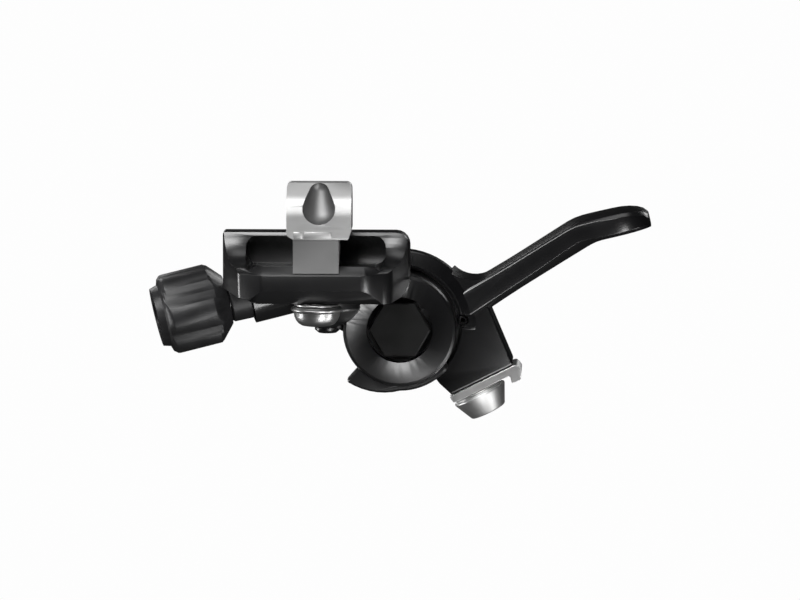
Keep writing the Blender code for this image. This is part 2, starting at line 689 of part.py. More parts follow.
def base_body():
    block = saddle_block()
    boss = cylinder("cable_boss", BOSS_RADIUS, BOSS_START, BOSS_START + BOSS_LENGTH, ROUND_STEPS // 2,
                    carrier=ADJUSTER_AXIS)
    for lump in (back_wall(), boss, belly(), web(), crescent_lip()):
        shape_with(block, lump, "UNION")
    hub_room = cylinder("hub_room", HUB_RADIUS + HUB_CLEARANCE, HUB_FRONT - RIM_CLEARANCE,
                        HUB_BACK + CUT_OVERSHOOT, ROUND_STEPS, carrier=PIVOT, matrix=TURNED_ALONG_Y)
    shape_with(block, hub_room, "DIFFERENCE")
    shape_with(block, pivot_housing(), "UNION")
    tools = [
        bolt_slot(),
        axle_hole(),
        cylinder("thread_bore", BARREL_THREAD_RADIUS + RUNNING_GAP, 0, BOSS_THREAD_END,
                 carrier=ADJUSTER_AXIS),
        cylinder("cable_hole", CABLE_HOLE_RADIUS, 0, BOSS_START + BOSS_LENGTH + 5 * MM, 16,
                 carrier=ADJUSTER_AXIS),
        cylinder("collar_relief", KNOB_END_RADIUS + 0.5 * MM, 0, BOSS_START, carrier=ADJUSTER_AXIS),
        cylinder("spring_leg_hole", SPRING_WIRE_RADIUS + SEAT_GAP, HOUSING_BACK - SPRING_LEG,
                 HOUSING_BACK + CUT_OVERSHOOT, 16, carrier=PIVOT,
                 matrix=Matrix.Translation(spring_point(0)[0]) @ TURNED_ALONG_Y),
    ]
    for tool in tools:
        shape_with(block, tool, "DIFFERENCE")


def spring_point(share):
    """The place of the coil's centre line about the pivot, and its angle, for a share of its length."""
    first = HUB_FACE + SPRING_WIRE_RADIUS + 0.2 * MM
    last = SPRING_POCKET_FLOOR - SPRING_WIRE_RADIUS - 0.2 * MM
    angle = math.radians(SPRING_START_ANGLE + 360 * SPRING_TURNS * share)
    flat = Vector((SPRING_RADIUS * math.cos(angle), 0, SPRING_RADIUS * math.sin(angle)))
    depth = first + (last - first) * share
    return Vector((flat.x, 0, flat.z)), angle, depth


def return_spring():
    """The torsion spring, with a leg in the housing and a leg in the hub."""
    steps = int(SPRING_TURNS * 20)
    coil = []
    for step in range(steps + 1):
        flat, _, depth = spring_point(step / steps)
        coil.append(Vector((flat.x, depth, flat.z)))
    front = Vector((coil[0].x, HOUSING_BACK - SPRING_LEG + 0.3 * MM, coil[0].z))
    back = Vector((coil[-1].x, SPRING_POCKET_FLOOR + SPRING_LEG - 0.3 * MM, coil[-1].z))
    points = [front, coil[0] - Vector((0, SPRING_LEG_BEND, 0)), *coil[1:-1],
              coil[-1] + Vector((0, SPRING_LEG_BEND, 0)), back]
    wire("return_spring", points, SPRING_WIRE_RADIUS, carrier=PIVOT, finish="spring_steel")


def lever_hub():
    """The turned hub with its sloping rim and cable groove, cut back to a sector."""
    land = HUB_CUP_RADIUS + HUB_CUP_LAND
    crest_y = HUB_FRONT + HUB_SLOPE + HUB_CREST
    groove_floor = CABLE_RADIUS - GROOVE_HALF_WIDTH * 0.7
    profile = [
        (0, HUB_FRONT),
        (land, HUB_FRONT),
        (HUB_RADIUS - HUB_CREST, HUB_FRONT + HUB_SLOPE),
        (HUB_RADIUS - HUB_CREST * 0.3, crest_y - HUB_CREST * 0.55),
        (HUB_RADIUS, crest_y),
        (HUB_RADIUS, CABLE_DEPTH - GROOVE_HALF_WIDTH - GROOVE_FLARE),
        (groove_floor, CABLE_DEPTH - GROOVE_HALF_WIDTH * 0.5),
        (groove_floor, CABLE_DEPTH + GROOVE_HALF_WIDTH * 0.5),
        (HUB_REAR_RADIUS, CABLE_DEPTH + GROOVE_HALF_WIDTH + GROOVE_FLARE),
        (HUB_REAR_RADIUS, HUB_BACK - 0.4 * MM),
        (HUB_REAR_RADIUS - 0.4 * MM, HUB_BACK),
        (0, HUB_BACK),
    ]
    hub = turned("lever", profile, closed=False, carrier=PIVOT, matrix=TURNED_ALONG_Y,
                 finish="lever_black")
    far = HUB_RADIUS + CUT_OVERSHOOT
    outline = [
        *arc((0, 0), HUB_CORE_RADIUS, HUB_SECTOR_START, HUB_SECTOR_END, 36),
        *arc((0, 0), far, HUB_SECTOR_END, HUB_SECTOR_START, 18),
    ]
    sector = extruded("hub_sector", outline, "XZ", HUB_FRONT - CUT_OVERSHOOT, HUB_BACK + CUT_OVERSHOOT,
                      carrier=PIVOT)
    return shape_with(hub, sector, "DIFFERENCE")


def hub_inside():
    """The cup over the housing, the spring's pocket and the bore, as one tool."""
    front = -CUT_OVERSHOOT
    back = HUB_BACK + CUT_OVERSHOOT
    profile = [
        (0, front),
        (HUB_CUP_RADIUS, front),
        (HUB_CUP_RADIUS, HUB_FACE),
        (SPRING_POCKET_OUTER, HUB_FACE),
        (SPRING_POCKET_OUTER, SPRING_POCKET_FLOOR),
        (SPRING_POCKET_INNER, SPRING_POCKET_FLOOR),
        (SPRING_POCKET_INNER, BORE_FACE_Y),
        (HUB_BORE_RADIUS, BORE_FACE_Y),
        (HUB_BORE_RADIUS, back),
        (0, back),
    ]
    return turned("hub_inside", profile, closed=False, carrier=PIVOT, matrix=TURNED_ALONG_Y)


def arm_place(distance):
    """The point of the arm's centre line at a distance from the pivot, and its direction."""
    turn = math.radians(ARM_ANGLE)
    heading = Vector((math.cos(turn), 0, math.sin(turn)))
    normal = Vector((-heading.z, 0, heading.x))
    bend_length = ARM_BEND_RADIUS * math.radians(ARM_BEND_ANGLE)
    point = heading * min(distance, ARM_STRAIGHT_END) + normal * ARM_OFFSET
    bent = min(max(distance - ARM_STRAIGHT_END, 0), bend_length) / ARM_BEND_RADIUS
    point += heading * ARM_BEND_RADIUS * math.sin(bent) - normal * ARM_BEND_RADIUS * (1 - math.cos(bent))
    direction = heading * math.cos(bent) - normal * math.sin(bent)
    point += direction * max(distance - ARM_STRAIGHT_END - bend_length, 0)
    return point, direction


def blend(value, start, end, low, high):
    """A smooth step from low to high while the value goes from start to end."""
    share = min(max((value - start) / (end - start), 0), 1)
    return low + (high - low) * share * share * (3 - 2 * share)


def arm_section(distance, width, thickness, foot, top, drop):
    """One section of the arm, with a chamfer along each edge of its top and of its foot."""
    point, direction = arm_place(distance)
    upward = Vector((-direction.z, 0, direction.x))
    half_width, half = width / 2, thickness / 2
    foot_side = min(foot, half_width * 0.6)
    foot_rise = min(foot, thickness * 0.42)
    top_side = min(top, half_width * 0.6)
    top_drop = min(top, thickness * 0.42)
    edge = min(ARM_EDGE_ROUND, thickness * 0.03)
    corners = [
        (-half_width + top_side, half, edge),
        (-half_width, half - top_drop, edge),
        (-half_width, -half + foot_rise, edge),
        (-half_width + foot_side, -half, edge),
        (half_width - foot_side, -half, edge),
        (half_width, -half + foot_rise, edge),
        (half_width, half - top_drop, edge),
        (half_width - top_side, half, edge),
    ]
    middle = point - upward * drop + Vector((0, CABLE_DEPTH, 0))
    return [middle + Vector((0, across, 0)) + upward * rise for across, rise in rounded(corners, 2)]


def arm_and_paddle():
    """The arm, lofted through sections that widen into the paddle and round off at its end."""
    bend_length = ARM_BEND_RADIUS * math.radians(ARM_BEND_ANGLE)
    paddle_start = ARM_STRAIGHT_END + bend_length
    end = paddle_start + PADDLE_LENGTH
    round_off = PADDLE_WIDTH * 0.5
    distances = [ARM_START + (ARM_STRAIGHT_END - ARM_START) * i / 6 for i in range(7)]
    distances += [ARM_STRAIGHT_END + bend_length * i / 4 for i in range(1, 5)]
    distances += [paddle_start + (PADDLE_LENGTH - round_off) * i / 2 for i in (1, 2)]
    distances += [end - round_off * (1 - math.sin(math.radians(15 * i))) for i in range(1, 6)]
    distances += [end - 0.1 * MM]
    sections = []
    for distance in distances:
        middle = (ARM_START + ARM_STRAIGHT_END) / 2
        width = blend(distance, ARM_START, middle, ARM_ROOT_WIDTH, ARM_WIDTH)
        width += blend(distance, middle, paddle_start + 2.0 * MM, 0, PADDLE_WIDTH - ARM_WIDTH)
        thickness = blend(distance, ARM_START, middle, ARM_ROOT_THICKNESS, ARM_THICKNESS)
        thickness += blend(distance, ARM_STRAIGHT_END, paddle_start, 0, PADDLE_THICKNESS - ARM_THICKNESS)
        foot = blend(distance, middle, ARM_STRAIGHT_END, ARM_FOOT_CHAMFER, ARM_FOOT_CHAMFER * 1.5)
        foot += blend(distance, ARM_STRAIGHT_END, paddle_start, 0, PADDLE_EDGE - ARM_FOOT_CHAMFER * 1.5)
        top = blend(distance, paddle_start, end - round_off, ARM_TOP_CHAMFER, PADDLE_EDGE)
        past = max(distance - (end - round_off), 0) / round_off
        shrink = math.sqrt(max(1 - past * past, 0))
        width *= 0.3 + 0.7 * shrink
        thinned = thickness * (0.35 + 0.65 * shrink ** 0.7)
        drop = (thickness - thinned) / 2
        sections.append(arm_section(distance, width, thinned, foot, top, drop))
    return lofted("arm", sections, carrier=PIVOT)


def root_fillet():
    """The web that blends the hub's rim into the top of the arm."""
    top = ARM_OFFSET + ARM_ROOT_THICKNESS / 2 - 0.3 * MM
    rise = top + ROOT_FILLET
    along = math.sqrt((HUB_RADIUS + ROOT_FILLET) ** 2 - rise ** 2)
    meets_hub = math.degrees(math.atan2(rise, along))
    outline = [
        *arc((along, rise), ROOT_FILLET, 180 + meets_hub, 270, 8),
        (along, top - 1.5 * MM),
        (HUB_CORE_RADIUS, top - 1.5 * MM),
        *arc((0, 0), HUB_RADIUS - 1.2 * MM, 0, meets_hub, 4),
    ]
    turn = Matrix.Rotation(-math.radians(ARM_ANGLE), 4, "Y")
    half = ARM_ROOT_WIDTH / 2 - 0.25 * MM
    return extruded("root_fillet", outline, "XZ", CABLE_DEPTH - half, CABLE_DEPTH + half, carrier=PIVOT,
                    matrix=turn)


def clamp_lobe():
    """The lobe that ends in the cable's clamp face, drawn along and out of that face."""
    left = LOBE_LEFT
    right = LOBE_RIGHT
    outline = [
        (left, LOBE_FACE, 0.4 * MM),
        (left - 1.0 * MM, LOBE_FACE - 2.6 * MM, 1.5 * MM),
        (left - 1.6 * MM, HUB_CORE_RADIUS - 1.0 * MM, 0),
        (2.6 * MM, LOBE_FACE - 9.7 * MM, 0),
        (right - 2.6 * MM, LOBE_FACE - 15.3 * MM, 0),
        (right + 0.7 * MM, LOBE_FACE - 11.9 * MM, 1.0 * MM),
        (right, LOBE_FACE, 0.5 * MM),
    ]
    lobe = extruded("clamp_lobe", rounded(outline), "XZ", -LOBE_WIDTH / 2, LOBE_WIDTH / 2,
                    carrier=PINCH_AXIS)
    round_edges(lobe, LOBE_EDGE, segments=3, angle=60)
    return lobe


def pin_place():
    return Vector(
        (PIN_PLACE_RADIUS * math.cos(math.radians(PIN_ANGLE)), 0,
         PIN_PLACE_RADIUS * math.sin(math.radians(PIN_ANGLE)))
    )


def pin_hole():
    """The hole for the pin, with a wider mouth."""
    profile = [
        (0, 0),
        (PIN_HOLE_RADIUS, 0),
        (PIN_HOLE_RADIUS, HUB_FRONT + PIN_HOLE_DEPTH),
        (PIN_RADIUS + SEAT_GAP, HUB_FRONT + PIN_HOLE_DEPTH),
        (PIN_RADIUS + SEAT_GAP, HUB_FRONT + PIN_RECESS + PIN_LENGTH + 0.2 * MM),
        (0, HUB_FRONT + PIN_RECESS + PIN_LENGTH + 0.2 * MM),
    ]
    place = Matrix.Translation(pin_place()) @ TURNED_ALONG_Y
    return turned("pin_hole", profile, steps=20, closed=False, carrier=PIVOT, matrix=place)


def lever():
    hub = lever_hub()
    for lump in (root_fillet(), clamp_lobe(), arm_and_paddle()):
        shape_with(hub, lump, "UNION")
    cable_line = Matrix.Translation((CABLE_RADIUS - PINCH_OFFSET, 0, 0))
    back_leg = Matrix.Translation(spring_point(1)[0]) @ TURNED_ALONG_Y
    tools = [
        hub_inside(),
        cylinder("cable_tunnel", CABLE_HOLE_RADIUS, -0.3 * MM, LOBE_FACE + CUT_OVERSHOOT, 16,
                 carrier=PINCH_AXIS, matrix=cable_line),
        cylinder("pinch_bore", PINCH_SHANK_RADIUS + SEAT_GAP, PINCH_FLANGE_START - PINCH_SHANK_LENGTH - 0.5 * MM,
                 LOBE_FACE + CUT_OVERSHOOT, 24, carrier=PINCH_AXIS),
        cylinder("back_leg_hole", SPRING_WIRE_RADIUS + SEAT_GAP, SPRING_POCKET_FLOOR - CUT_OVERSHOOT,
                 SPRING_POCKET_FLOOR + SPRING_LEG, 16, carrier=PIVOT, matrix=back_leg),
        pin_hole(),
    ]
    for tool in tools:
        shape_with(hub, tool, "DIFFERENCE")


def ring(name, inner, outer, start, end, finish, carrier=PIVOT, matrix=TURNED_ALONG_Y, edge=0.08 * MM,
         steps=SMALL_STEPS):
    """A flat washer with slightly eased outer edges."""
    profile = [
        (inner, end),
        (inner, start),
        (outer - edge, start),
        (outer, start + edge),
        (outer, end - edge),
        (outer - edge, end),
    ]
    return turned(name, profile, steps=steps, carrier=carrier, matrix=matrix, finish=finish)


def bush(name, flange_y, body_y, body_end):
    """A flanged bush: the flange lies on the hub's face and the body in its bore."""
    flange_far = flange_y + BUSH_FLANGE
    if body_end > flange_y:
        profile = [
            (BUSH_BORE_RADIUS, flange_y),
            (BUSH_FLANGE_RADIUS, flange_y),
            (BUSH_FLANGE_RADIUS, flange_far),
            (BUSH_RADIUS, flange_far),
            (BUSH_RADIUS, body_end),
            (BUSH_BORE_RADIUS, body_end),
        ]
    else:
        profile = [
            (BUSH_BORE_RADIUS, body_end),
            (BUSH_RADIUS, body_end),
            (BUSH_RADIUS, body_y),
            (BUSH_FLANGE_RADIUS, body_y),
            (BUSH_FLANGE_RADIUS, flange_far),
            (BUSH_BORE_RADIUS, flange_far),
        ]
    return turned(name, profile, steps=SMALL_STEPS, carrier=PIVOT, matrix=TURNED_ALONG_Y, finish="bronze")


def axle_group():
    """The axle with its hexagon head, and the stack that it carries."""
    head_back = COUNTERBORE_FLOOR - SEAT_GAP
    head = hexagon("pivot_axle", AXLE_HEAD_FLATS, head_back - AXLE_HEAD_HEIGHT, head_back,
                   AXLE_HEAD_CHAMFER, carrier=PIVOT, matrix=TURNED_ALONG_Y, finish="black_steel")
    shank = cylinder("axle_shank", AXLE_RADIUS, head_back - 0.5 * MM, AXLE_END_Y, 36, carrier=PIVOT,
                     matrix=TURNED_ALONG_Y)
    shape_with(head, shank, "UNION")
    bore = AXLE_RADIUS + RUNNING_GAP
    middle = (BORE_FACE_Y + HUB_BACK) / 2
    ring("thrust_washer_front", bore, BUSH_FLANGE_RADIUS, FRONT_WASHER_Y,
         FRONT_WASHER_Y + THRUST_WASHER_THICKNESS, "washer_plastic")
    bush("bush_front", FRONT_FLANGE_Y, BORE_FACE_Y, middle - RUNNING_GAP)
    bush("bush_rear", REAR_FLANGE_Y, REAR_FLANGE_Y, middle + RUNNING_GAP)
    ring("thrust_washer_rear", bore, BUSH_FLANGE_RADIUS, REAR_WASHER_Y,
         REAR_WASHER_Y + THRUST_WASHER_THICKNESS, "washer_plastic")
    ring("axle_washer", bore, BUSH_FLANGE_RADIUS + 0.6 * MM, AXLE_WASHER_Y,
         AXLE_WASHER_Y + AXLE_WASHER_THICKNESS, "bright_steel")
    nut = hexagon("axle_nut", NUT_FLATS, NUT_Y, NUT_Y + NUT_HEIGHT, carrier=PIVOT, matrix=TURNED_ALONG_Y,
                  finish="black_steel")
    nut_bore = cylinder("nut_bore", AXLE_RADIUS + SEAT_GAP, NUT_Y - CUT_OVERSHOOT,
                        NUT_Y + NUT_HEIGHT + CUT_OVERSHOOT, 36, carrier=PIVOT, matrix=TURNED_ALONG_Y)
    shape_with(nut, nut_bore, "DIFFERENCE")


def spring_pin():
    """The hollow pin at the root of the arm that the spring's load is set with."""
    start = HUB_FRONT + PIN_RECESS
    ring("spring_pin", PIN_BORE_RADIUS, PIN_RADIUS, start, start + PIN_LENGTH, "spring_steel",
         matrix=Matrix.Translation(pin_place()) @ TURNED_ALONG_Y, steps=24)


def socket_cutter(name, end, depth, carrier, matrix=None):
    return hexagon(name, SOCKET_FLATS, end - depth, end + CUT_OVERSHOOT, carrier=carrier, matrix=matrix)


def cable_clamp():
    """The bent washer and the bolt with the tapered head."""
    left = LOBE_LEFT - 0.5 * MM
    right = LOBE_RIGHT + PINCH_WASHER_OVERHANG
    top = PINCH_WASHER_START
    under = top + PINCH_WASHER_THICKNESS
    tab = under + PINCH_TAB_LENGTH
    outline = [
        (left, top, 0.3 * MM),
        (left + 0.25 * MM, under, 0.3 * MM),
        (right - PINCH_WASHER_THICKNESS - 0.75 * MM, under, 0.3 * MM),
        (right - PINCH_WASHER_THICKNESS - 1.05 * MM, tab - 0.2 * MM, 0.2 * MM),
        (right - PINCH_WASHER_THICKNESS + 0.5 * MM, tab, 0.3 * MM),
        (right + 0.05 * MM, under + 0.1 * MM, 0.6 * MM),
        (right - 0.2 * MM, top, 0.7 * MM),
    ]
    half = PINCH_WASHER_WIDTH / 2
    washer = extruded("pinch_washer", rounded(outline, 4), "XZ", -half, half, carrier=PINCH_AXIS,
                      finish="bright_steel")
    bore = cylinder("pinch_washer_bore", PINCH_SHANK_RADIUS + RUNNING_GAP, 0, tab + CUT_OVERSHOOT, 24,
                    carrier=PINCH_AXIS)
    shape_with(washer, bore, "DIFFERENCE")
    head_end = PINCH_HEAD_START + PINCH_HEAD_HEIGHT
    start = PINCH_FLANGE_START
    profile = [
        (0, head_end),
        (PINCH_HEAD_END_RADIUS - 0.2 * MM, head_end),
        (PINCH_HEAD_END_RADIUS, head_end - 0.2 * MM),
        (PINCH_HEAD_RADIUS - 0.1 * MM, PINCH_HEAD_START + 0.5 * MM),
        (PINCH_HEAD_RADIUS, PINCH_HEAD_START + 0.3 * MM),
        (PINCH_HEAD_RADIUS - 0.15 * MM, PINCH_HEAD_START),
        (PINCH_FLANGE_RADIUS, PINCH_HEAD_START),
        (PINCH_FLANGE_RADIUS, start),
        (PINCH_SHANK_RADIUS, start),
        (PINCH_SHANK_RADIUS, start - PINCH_SHANK_LENGTH + 0.4 * MM),
        (PINCH_SHANK_RADIUS - 0.4 * MM, start - PINCH_SHANK_LENGTH),
        (0, start - PINCH_SHANK_LENGTH),
    ]
    bolt = turned("pinch_bolt", profile, steps=48, closed=False, carrier=PINCH_AXIS,
                  finish="bright_steel")
    shape_with(bolt, socket_cutter("pinch_socket", head_end, SOCKET_DEPTH, PINCH_AXIS), "DIFFERENCE")


def teardrop():
    """The tool for the head's hollow: a ball and a smaller one, with the cone between them."""
    meets = math.degrees(math.asin((TEARDROP_RADIUS - TEARDROP_TIP_RADIUS) / TEARDROP_LENGTH))
    ball = arc((0, 0), TEARDROP_RADIUS, -90, meets, 8)
    tip = arc((0, TEARDROP_LENGTH), TEARDROP_TIP_RADIUS, meets, 90, 4)
    lean = Matrix.Rotation(-math.radians(TEARDROP_LEAN), 4, "X")
    place = Matrix.Translation((HEAD_OFFSET, HEAD_FRONT + 0.1 * MM, TEARDROP_CENTRE)) @ lean
    return turned("teardrop", ball + tip, steps=40, closed=False, carrier=CLAMP_AXIS, matrix=place)


def clamp_bracket():
    """The hook: its crowned head, the band under it, the neck and the tongue in the slot."""
    half_neck = NECK_WIDTH / 2
    half_head = HEAD_WIDTH / 2
    side = [
        (NECK_BACK, NECK_FOOT, 0.3 * MM),
        (NECK_BACK, HEAD_BOTTOM, 0),
        (NECK_BACK, HEAD_TOP - 3.0 * MM, 2.5 * MM),
        (HEAD_CROWN_BACK, HEAD_TOP, 0.5 * MM),
        (HEAD_CROWN_BACK - 1.8 * MM, HEAD_TOP, 0.6 * MM),
        (HEAD_FRONT + 0.7 * MM, HEAD_TOP - 2.6 * MM, 3.5 * MM),
        (HEAD_FRONT, HEAD_TOP - 5.2 * MM, 3.5 * MM),
        (HEAD_FRONT + 0.3 * MM, HEAD_BOTTOM, 0.5 * MM),
        (NECK_FRONT - BAND_REACH, HEAD_BOTTOM - 0.3 * MM, 0),
        (NECK_FRONT - BAND_REACH, BAND_BOTTOM, 0.15 * MM),
        (NECK_FRONT, BAND_BOTTOM - 0.1 * MM, 0),
        (NECK_FRONT, NECK_SKIRT, 0),
        (NECK_FRONT + (NECK_FOOT - NECK_SKIRT) / GUIDE_SLOPE, NECK_FOOT, 0),
    ]
    left = HEAD_OFFSET - half_head
    right = HEAD_OFFSET + half_head
    bracket = extruded("clamp_bracket", rounded(side, 4), "YZ", left, right,
                       carrier=CLAMP_AXIS, finish="satin_steel")
    front = [
        (half_neck, NECK_SKIRT - CUT_OVERSHOOT, 0),
        (half_neck, BAND_BOTTOM, 0.3 * MM),
        (right - 0.5 * MM, BAND_BOTTOM, 0.5 * MM),
        (right - 0.01 * MM, HEAD_BOTTOM, 0.6 * MM),
        (right - 0.01 * MM, HEAD_TOP + 0.01 * MM, HEAD_CORNER),
        (left + 0.01 * MM, HEAD_TOP + 0.01 * MM, HEAD_CORNER * 0.8),
        (left + 0.01 * MM, BAND_BOTTOM + 0.65 * MM, 0.3 * MM),
        (-half_neck, BAND_BOTTOM + 0.05 * MM, 0.2 * MM),
        (-half_neck, NECK_SKIRT - CUT_OVERSHOOT, 0),
    ]
    outline = extruded("bracket_front", rounded(front, 4), "XZ", HEAD_FRONT - CUT_OVERSHOOT, 0,
                       carrier=CLAMP_AXIS)
    shape_with(bracket, outline, "INTERSECT")
    round_edges(bracket, 0.3 * MM, angle=40)
    half_tongue = NECK_WIDTH / 2 - 0.2 * MM
    tongue = [
        (-half_tongue, SLOT_BOTTOM + RUNNING_GAP, 1.5 * MM),
        (half_tongue, SLOT_BOTTOM + RUNNING_GAP, 1.5 * MM),
        (half_tongue, SLOT_TOP - RUNNING_GAP, 1.5 * MM),
        (-half_tongue, SLOT_TOP - RUNNING_GAP, 1.5 * MM),
    ]
    tongue_solid = extruded("bracket_tongue", rounded(tongue, 3), "XZ", NECK_BACK - 1.0 * MM,
                            NECK_BACK + TONGUE_LENGTH, carrier=CLAMP_AXIS)
    shape_with(bracket, tongue_solid, "UNION")
    shape_with(bracket, teardrop(), "DIFFERENCE")
    thread = cylinder("clamp_thread", CLAMP_BOLT_RADIUS + SEAT_GAP, NECK_FOOT - CUT_OVERSHOOT,
                      DOME_TOP + CLAMP_BOLT_LENGTH + 0.5 * MM, 24, carrier=CLAMP_AXIS,
                      matrix=Matrix.Translation((0, CLAMP_BOLT_Y, 0)))
    shape_with(bracket, thread, "DIFFERENCE")


def clamp_bolt_and_washer():
    place = Matrix.Translation((0, CLAMP_BOLT_Y, 0))
    ring("clamp_washer", CLAMP_BOLT_RADIUS + RUNNING_GAP, CLAMP_WASHER_RADIUS,
         CLAMP_WASHER_TOP - CLAMP_WASHER_THICKNESS, CLAMP_WASHER_TOP, "bright_steel",
         carrier=CLAMP_AXIS, matrix=place)
    rim = DOME_TOP - DOME_RIM
    dome = [
        (DOME_END_RADIUS + (DOME_WAIST_RADIUS - DOME_END_RADIUS) * math.cos(t), rim - DOME_HEIGHT * math.sin(t))
        for t in (math.radians(18 * i) for i in range(6))
    ]
    bottom = rim - DOME_HEIGHT
    profile = [
        (0, DOME_TOP + CLAMP_BOLT_LENGTH),
        (CLAMP_BOLT_RADIUS - 0.4 * MM, DOME_TOP + CLAMP_BOLT_LENGTH),
        (CLAMP_BOLT_RADIUS, DOME_TOP + CLAMP_BOLT_LENGTH - 0.4 * MM),
        (CLAMP_BOLT_RADIUS, DOME_TOP),
        (DOME_RADIUS - 0.5 * MM, DOME_TOP),
        (DOME_RADIUS, DOME_TOP - 0.35 * MM),
        (DOME_RADIUS - 0.05 * MM, DOME_TOP - 0.6 * MM),
        *dome,
        (0, bottom),
    ]
    bolt = turned("clamp_bolt", profile, steps=48, closed=False, carrier=CLAMP_AXIS, matrix=place,
                  finish="bright_steel")
    cutter = hexagon("clamp_socket", CLAMP_SOCKET_FLATS, bottom - CUT_OVERSHOOT, bottom + CLAMP_SOCKET_DEPTH,
                     carrier=CLAMP_AXIS, matrix=place)
    shape_with(bolt, cutter, "DIFFERENCE")


def knob_envelope(station):
    """The radius that the knob may have at a distance from its outer end."""
    if station <= KNOB_NECK_LENGTH:
        return KNOB_FACE_RADIUS + (KNOB_NECK_RADIUS - KNOB_FACE_RADIUS) * station / KNOB_NECK_LENGTH
    if station < KNOB_SHOULDER:
        share = (station - KNOB_NECK_LENGTH) / (KNOB_SHOULDER - KNOB_NECK_LENGTH)
        return KNOB_NECK_RADIUS + (KNOB_RADIUS - KNOB_NECK_RADIUS) * math.sin(share * math.pi / 2)
    if station <= KNOB_TAPER_START:
        return KNOB_RADIUS
    share = (station - KNOB_TAPER_START) / (KNOB_LENGTH - KNOB_TAPER_START)
    return KNOB_RADIUS + (KNOB_END_RADIUS - KNOB_RADIUS) * share


def lobe_radius(angle):
    """The radius of the lobed section, which is a ring of circles about the axis."""
    spacing = 2 * math.pi / KNOB_LOBES
    offset = (angle + spacing / 2) % spacing - spacing / 2
    lobe = KNOB_RADIUS - KNOB_LOBE_CENTRE
    sideways = KNOB_LOBE_CENTRE * math.sin(offset)
    return KNOB_LOBE_CENTRE * math.cos(offset) + math.sqrt(lobe ** 2 - sideways ** 2)


def adjuster():
    """The lobed knob, the barrel inside it, the collar and its spring."""
    count = KNOB_LOBES * KNOB_STEPS_PER_LOBE
    stations = [0, KNOB_NECK_LENGTH * 0.5, KNOB_NECK_LENGTH]
    stations += [KNOB_NECK_LENGTH + (KNOB_SHOULDER - KNOB_NECK_LENGTH) * i / 4 for i in range(1, 5)]
    stations += [KNOB_TAPER_START * 0.6, KNOB_TAPER_START]
    stations += [KNOB_TAPER_START + (KNOB_LENGTH - KNOB_TAPER_START) * i / 5 for i in range(1, 6)]
    sections = []
    for station in stations:
        limit = knob_envelope(station)
        turns = [2 * math.pi * i / count for i in range(count)]
        radii = [min(limit, lobe_radius(turn)) for turn in turns]
        sections.append([Vector((r * math.cos(t), r * math.sin(t), station)) for r, t in zip(radii, turns)])
    knob = lofted("adjuster_knob", sections, carrier=ADJUSTER_AXIS, finish="knob_plastic")
    shape_with(knob, cylinder("knob_mouth", HOUSING_SEAT_RADIUS + 0.15 * MM, -CUT_OVERSHOOT, KNOB_LENGTH / 2,
                              carrier=ADJUSTER_AXIS), "DIFFERENCE")
    shape_with(knob, cylinder("knob_bore", BARREL_HEAD_RADIUS + SEAT_GAP, KNOB_LIP,
                              KNOB_LENGTH + CUT_OVERSHOOT, 40, carrier=ADJUSTER_AXIS), "DIFFERENCE")
    barrel = [
        (HOUSING_SEAT_RADIUS, KNOB_LIP + SEAT_GAP),
        (BARREL_HEAD_RADIUS, KNOB_LIP + SEAT_GAP),
        (BARREL_HEAD_RADIUS, BARREL_HEAD_END),
        (BARREL_THREAD_RADIUS, BARREL_HEAD_END),
        (BARREL_THREAD_RADIUS, BARREL_END - 0.4 * MM),
        (BARREL_THREAD_RADIUS - 0.4 * MM, BARREL_END),
        (CABLE_HOLE_RADIUS, BARREL_END),
        (CABLE_HOLE_RADIUS, HOUSING_SEAT_DEPTH + 1.0 * MM),
        (HOUSING_SEAT_RADIUS, HOUSING_SEAT_DEPTH),
    ]
    turned("adjuster_barrel", barrel, steps=SMALL_STEPS, carrier=ADJUSTER_AXIS, finish="bright_steel")
    cup_radius = COLLAR_END_RADIUS - COLLAR_WALL
    shoulder_end = COLLAR_START + COLLAR_SHOULDER
    collar = [
        (BARREL_THREAD_RADIUS + SEAT_GAP, COLLAR_START),
        (COLLAR_RADIUS - 0.25 * MM, COLLAR_START),
        (COLLAR_RADIUS, COLLAR_START + 0.25 * MM),
        (COLLAR_END_RADIUS, COLLAR_END),
        (cup_radius, COLLAR_END),
        (cup_radius, shoulder_end),
        (BARREL_THREAD_RADIUS + SEAT_GAP, shoulder_end),
    ]
    turned("adjuster_collar", collar, steps=40, carrier=ADJUSTER_AXIS, finish="knob_plastic")
    coil_radius = (cup_radius + BARREL_THREAD_RADIUS) / 2
    first = shoulder_end + SEAT_GAP + ADJUSTER_SPRING_WIRE
    last = BOSS_START - SEAT_GAP - ADJUSTER_SPRING_WIRE
    steps = int(ADJUSTER_SPRING_TURNS * 16)
    coil = []
    for step in range(steps + 1):
        turn = 2 * math.pi * ADJUSTER_SPRING_TURNS * step / steps
        coil.append(Vector((coil_radius * math.cos(turn), coil_radius * math.sin(turn),
                            first + (last - first) * step / steps)))
    wire("adjuster_spring", coil, ADJUSTER_SPRING_WIRE, carrier=ADJUSTER_AXIS, finish="spring_steel")


def main():
    base_body()
    lever()
    return_spring()
    axle_group()
    spring_pin()
    cable_clamp()
    clamp_bracket()
    clamp_bolt_and_washer()
    adjuster()


main()
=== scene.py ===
"""Looks of the dropper post remote lever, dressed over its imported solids.

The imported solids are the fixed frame. Each sub-assembly is a class that refines the solids it
owns, models the small detail that only the eye needs, and gives every piece a procedural finish.
Lengths are in metres, with +X towards the lever, +Y to the back and +Z up, as in the solids.
"""

import json
import logging
import math
from abc import ABC, abstractmethod
from dataclasses import dataclass
from enum import Enum
from typing import Any, Callable, Optional, Sequence, Union

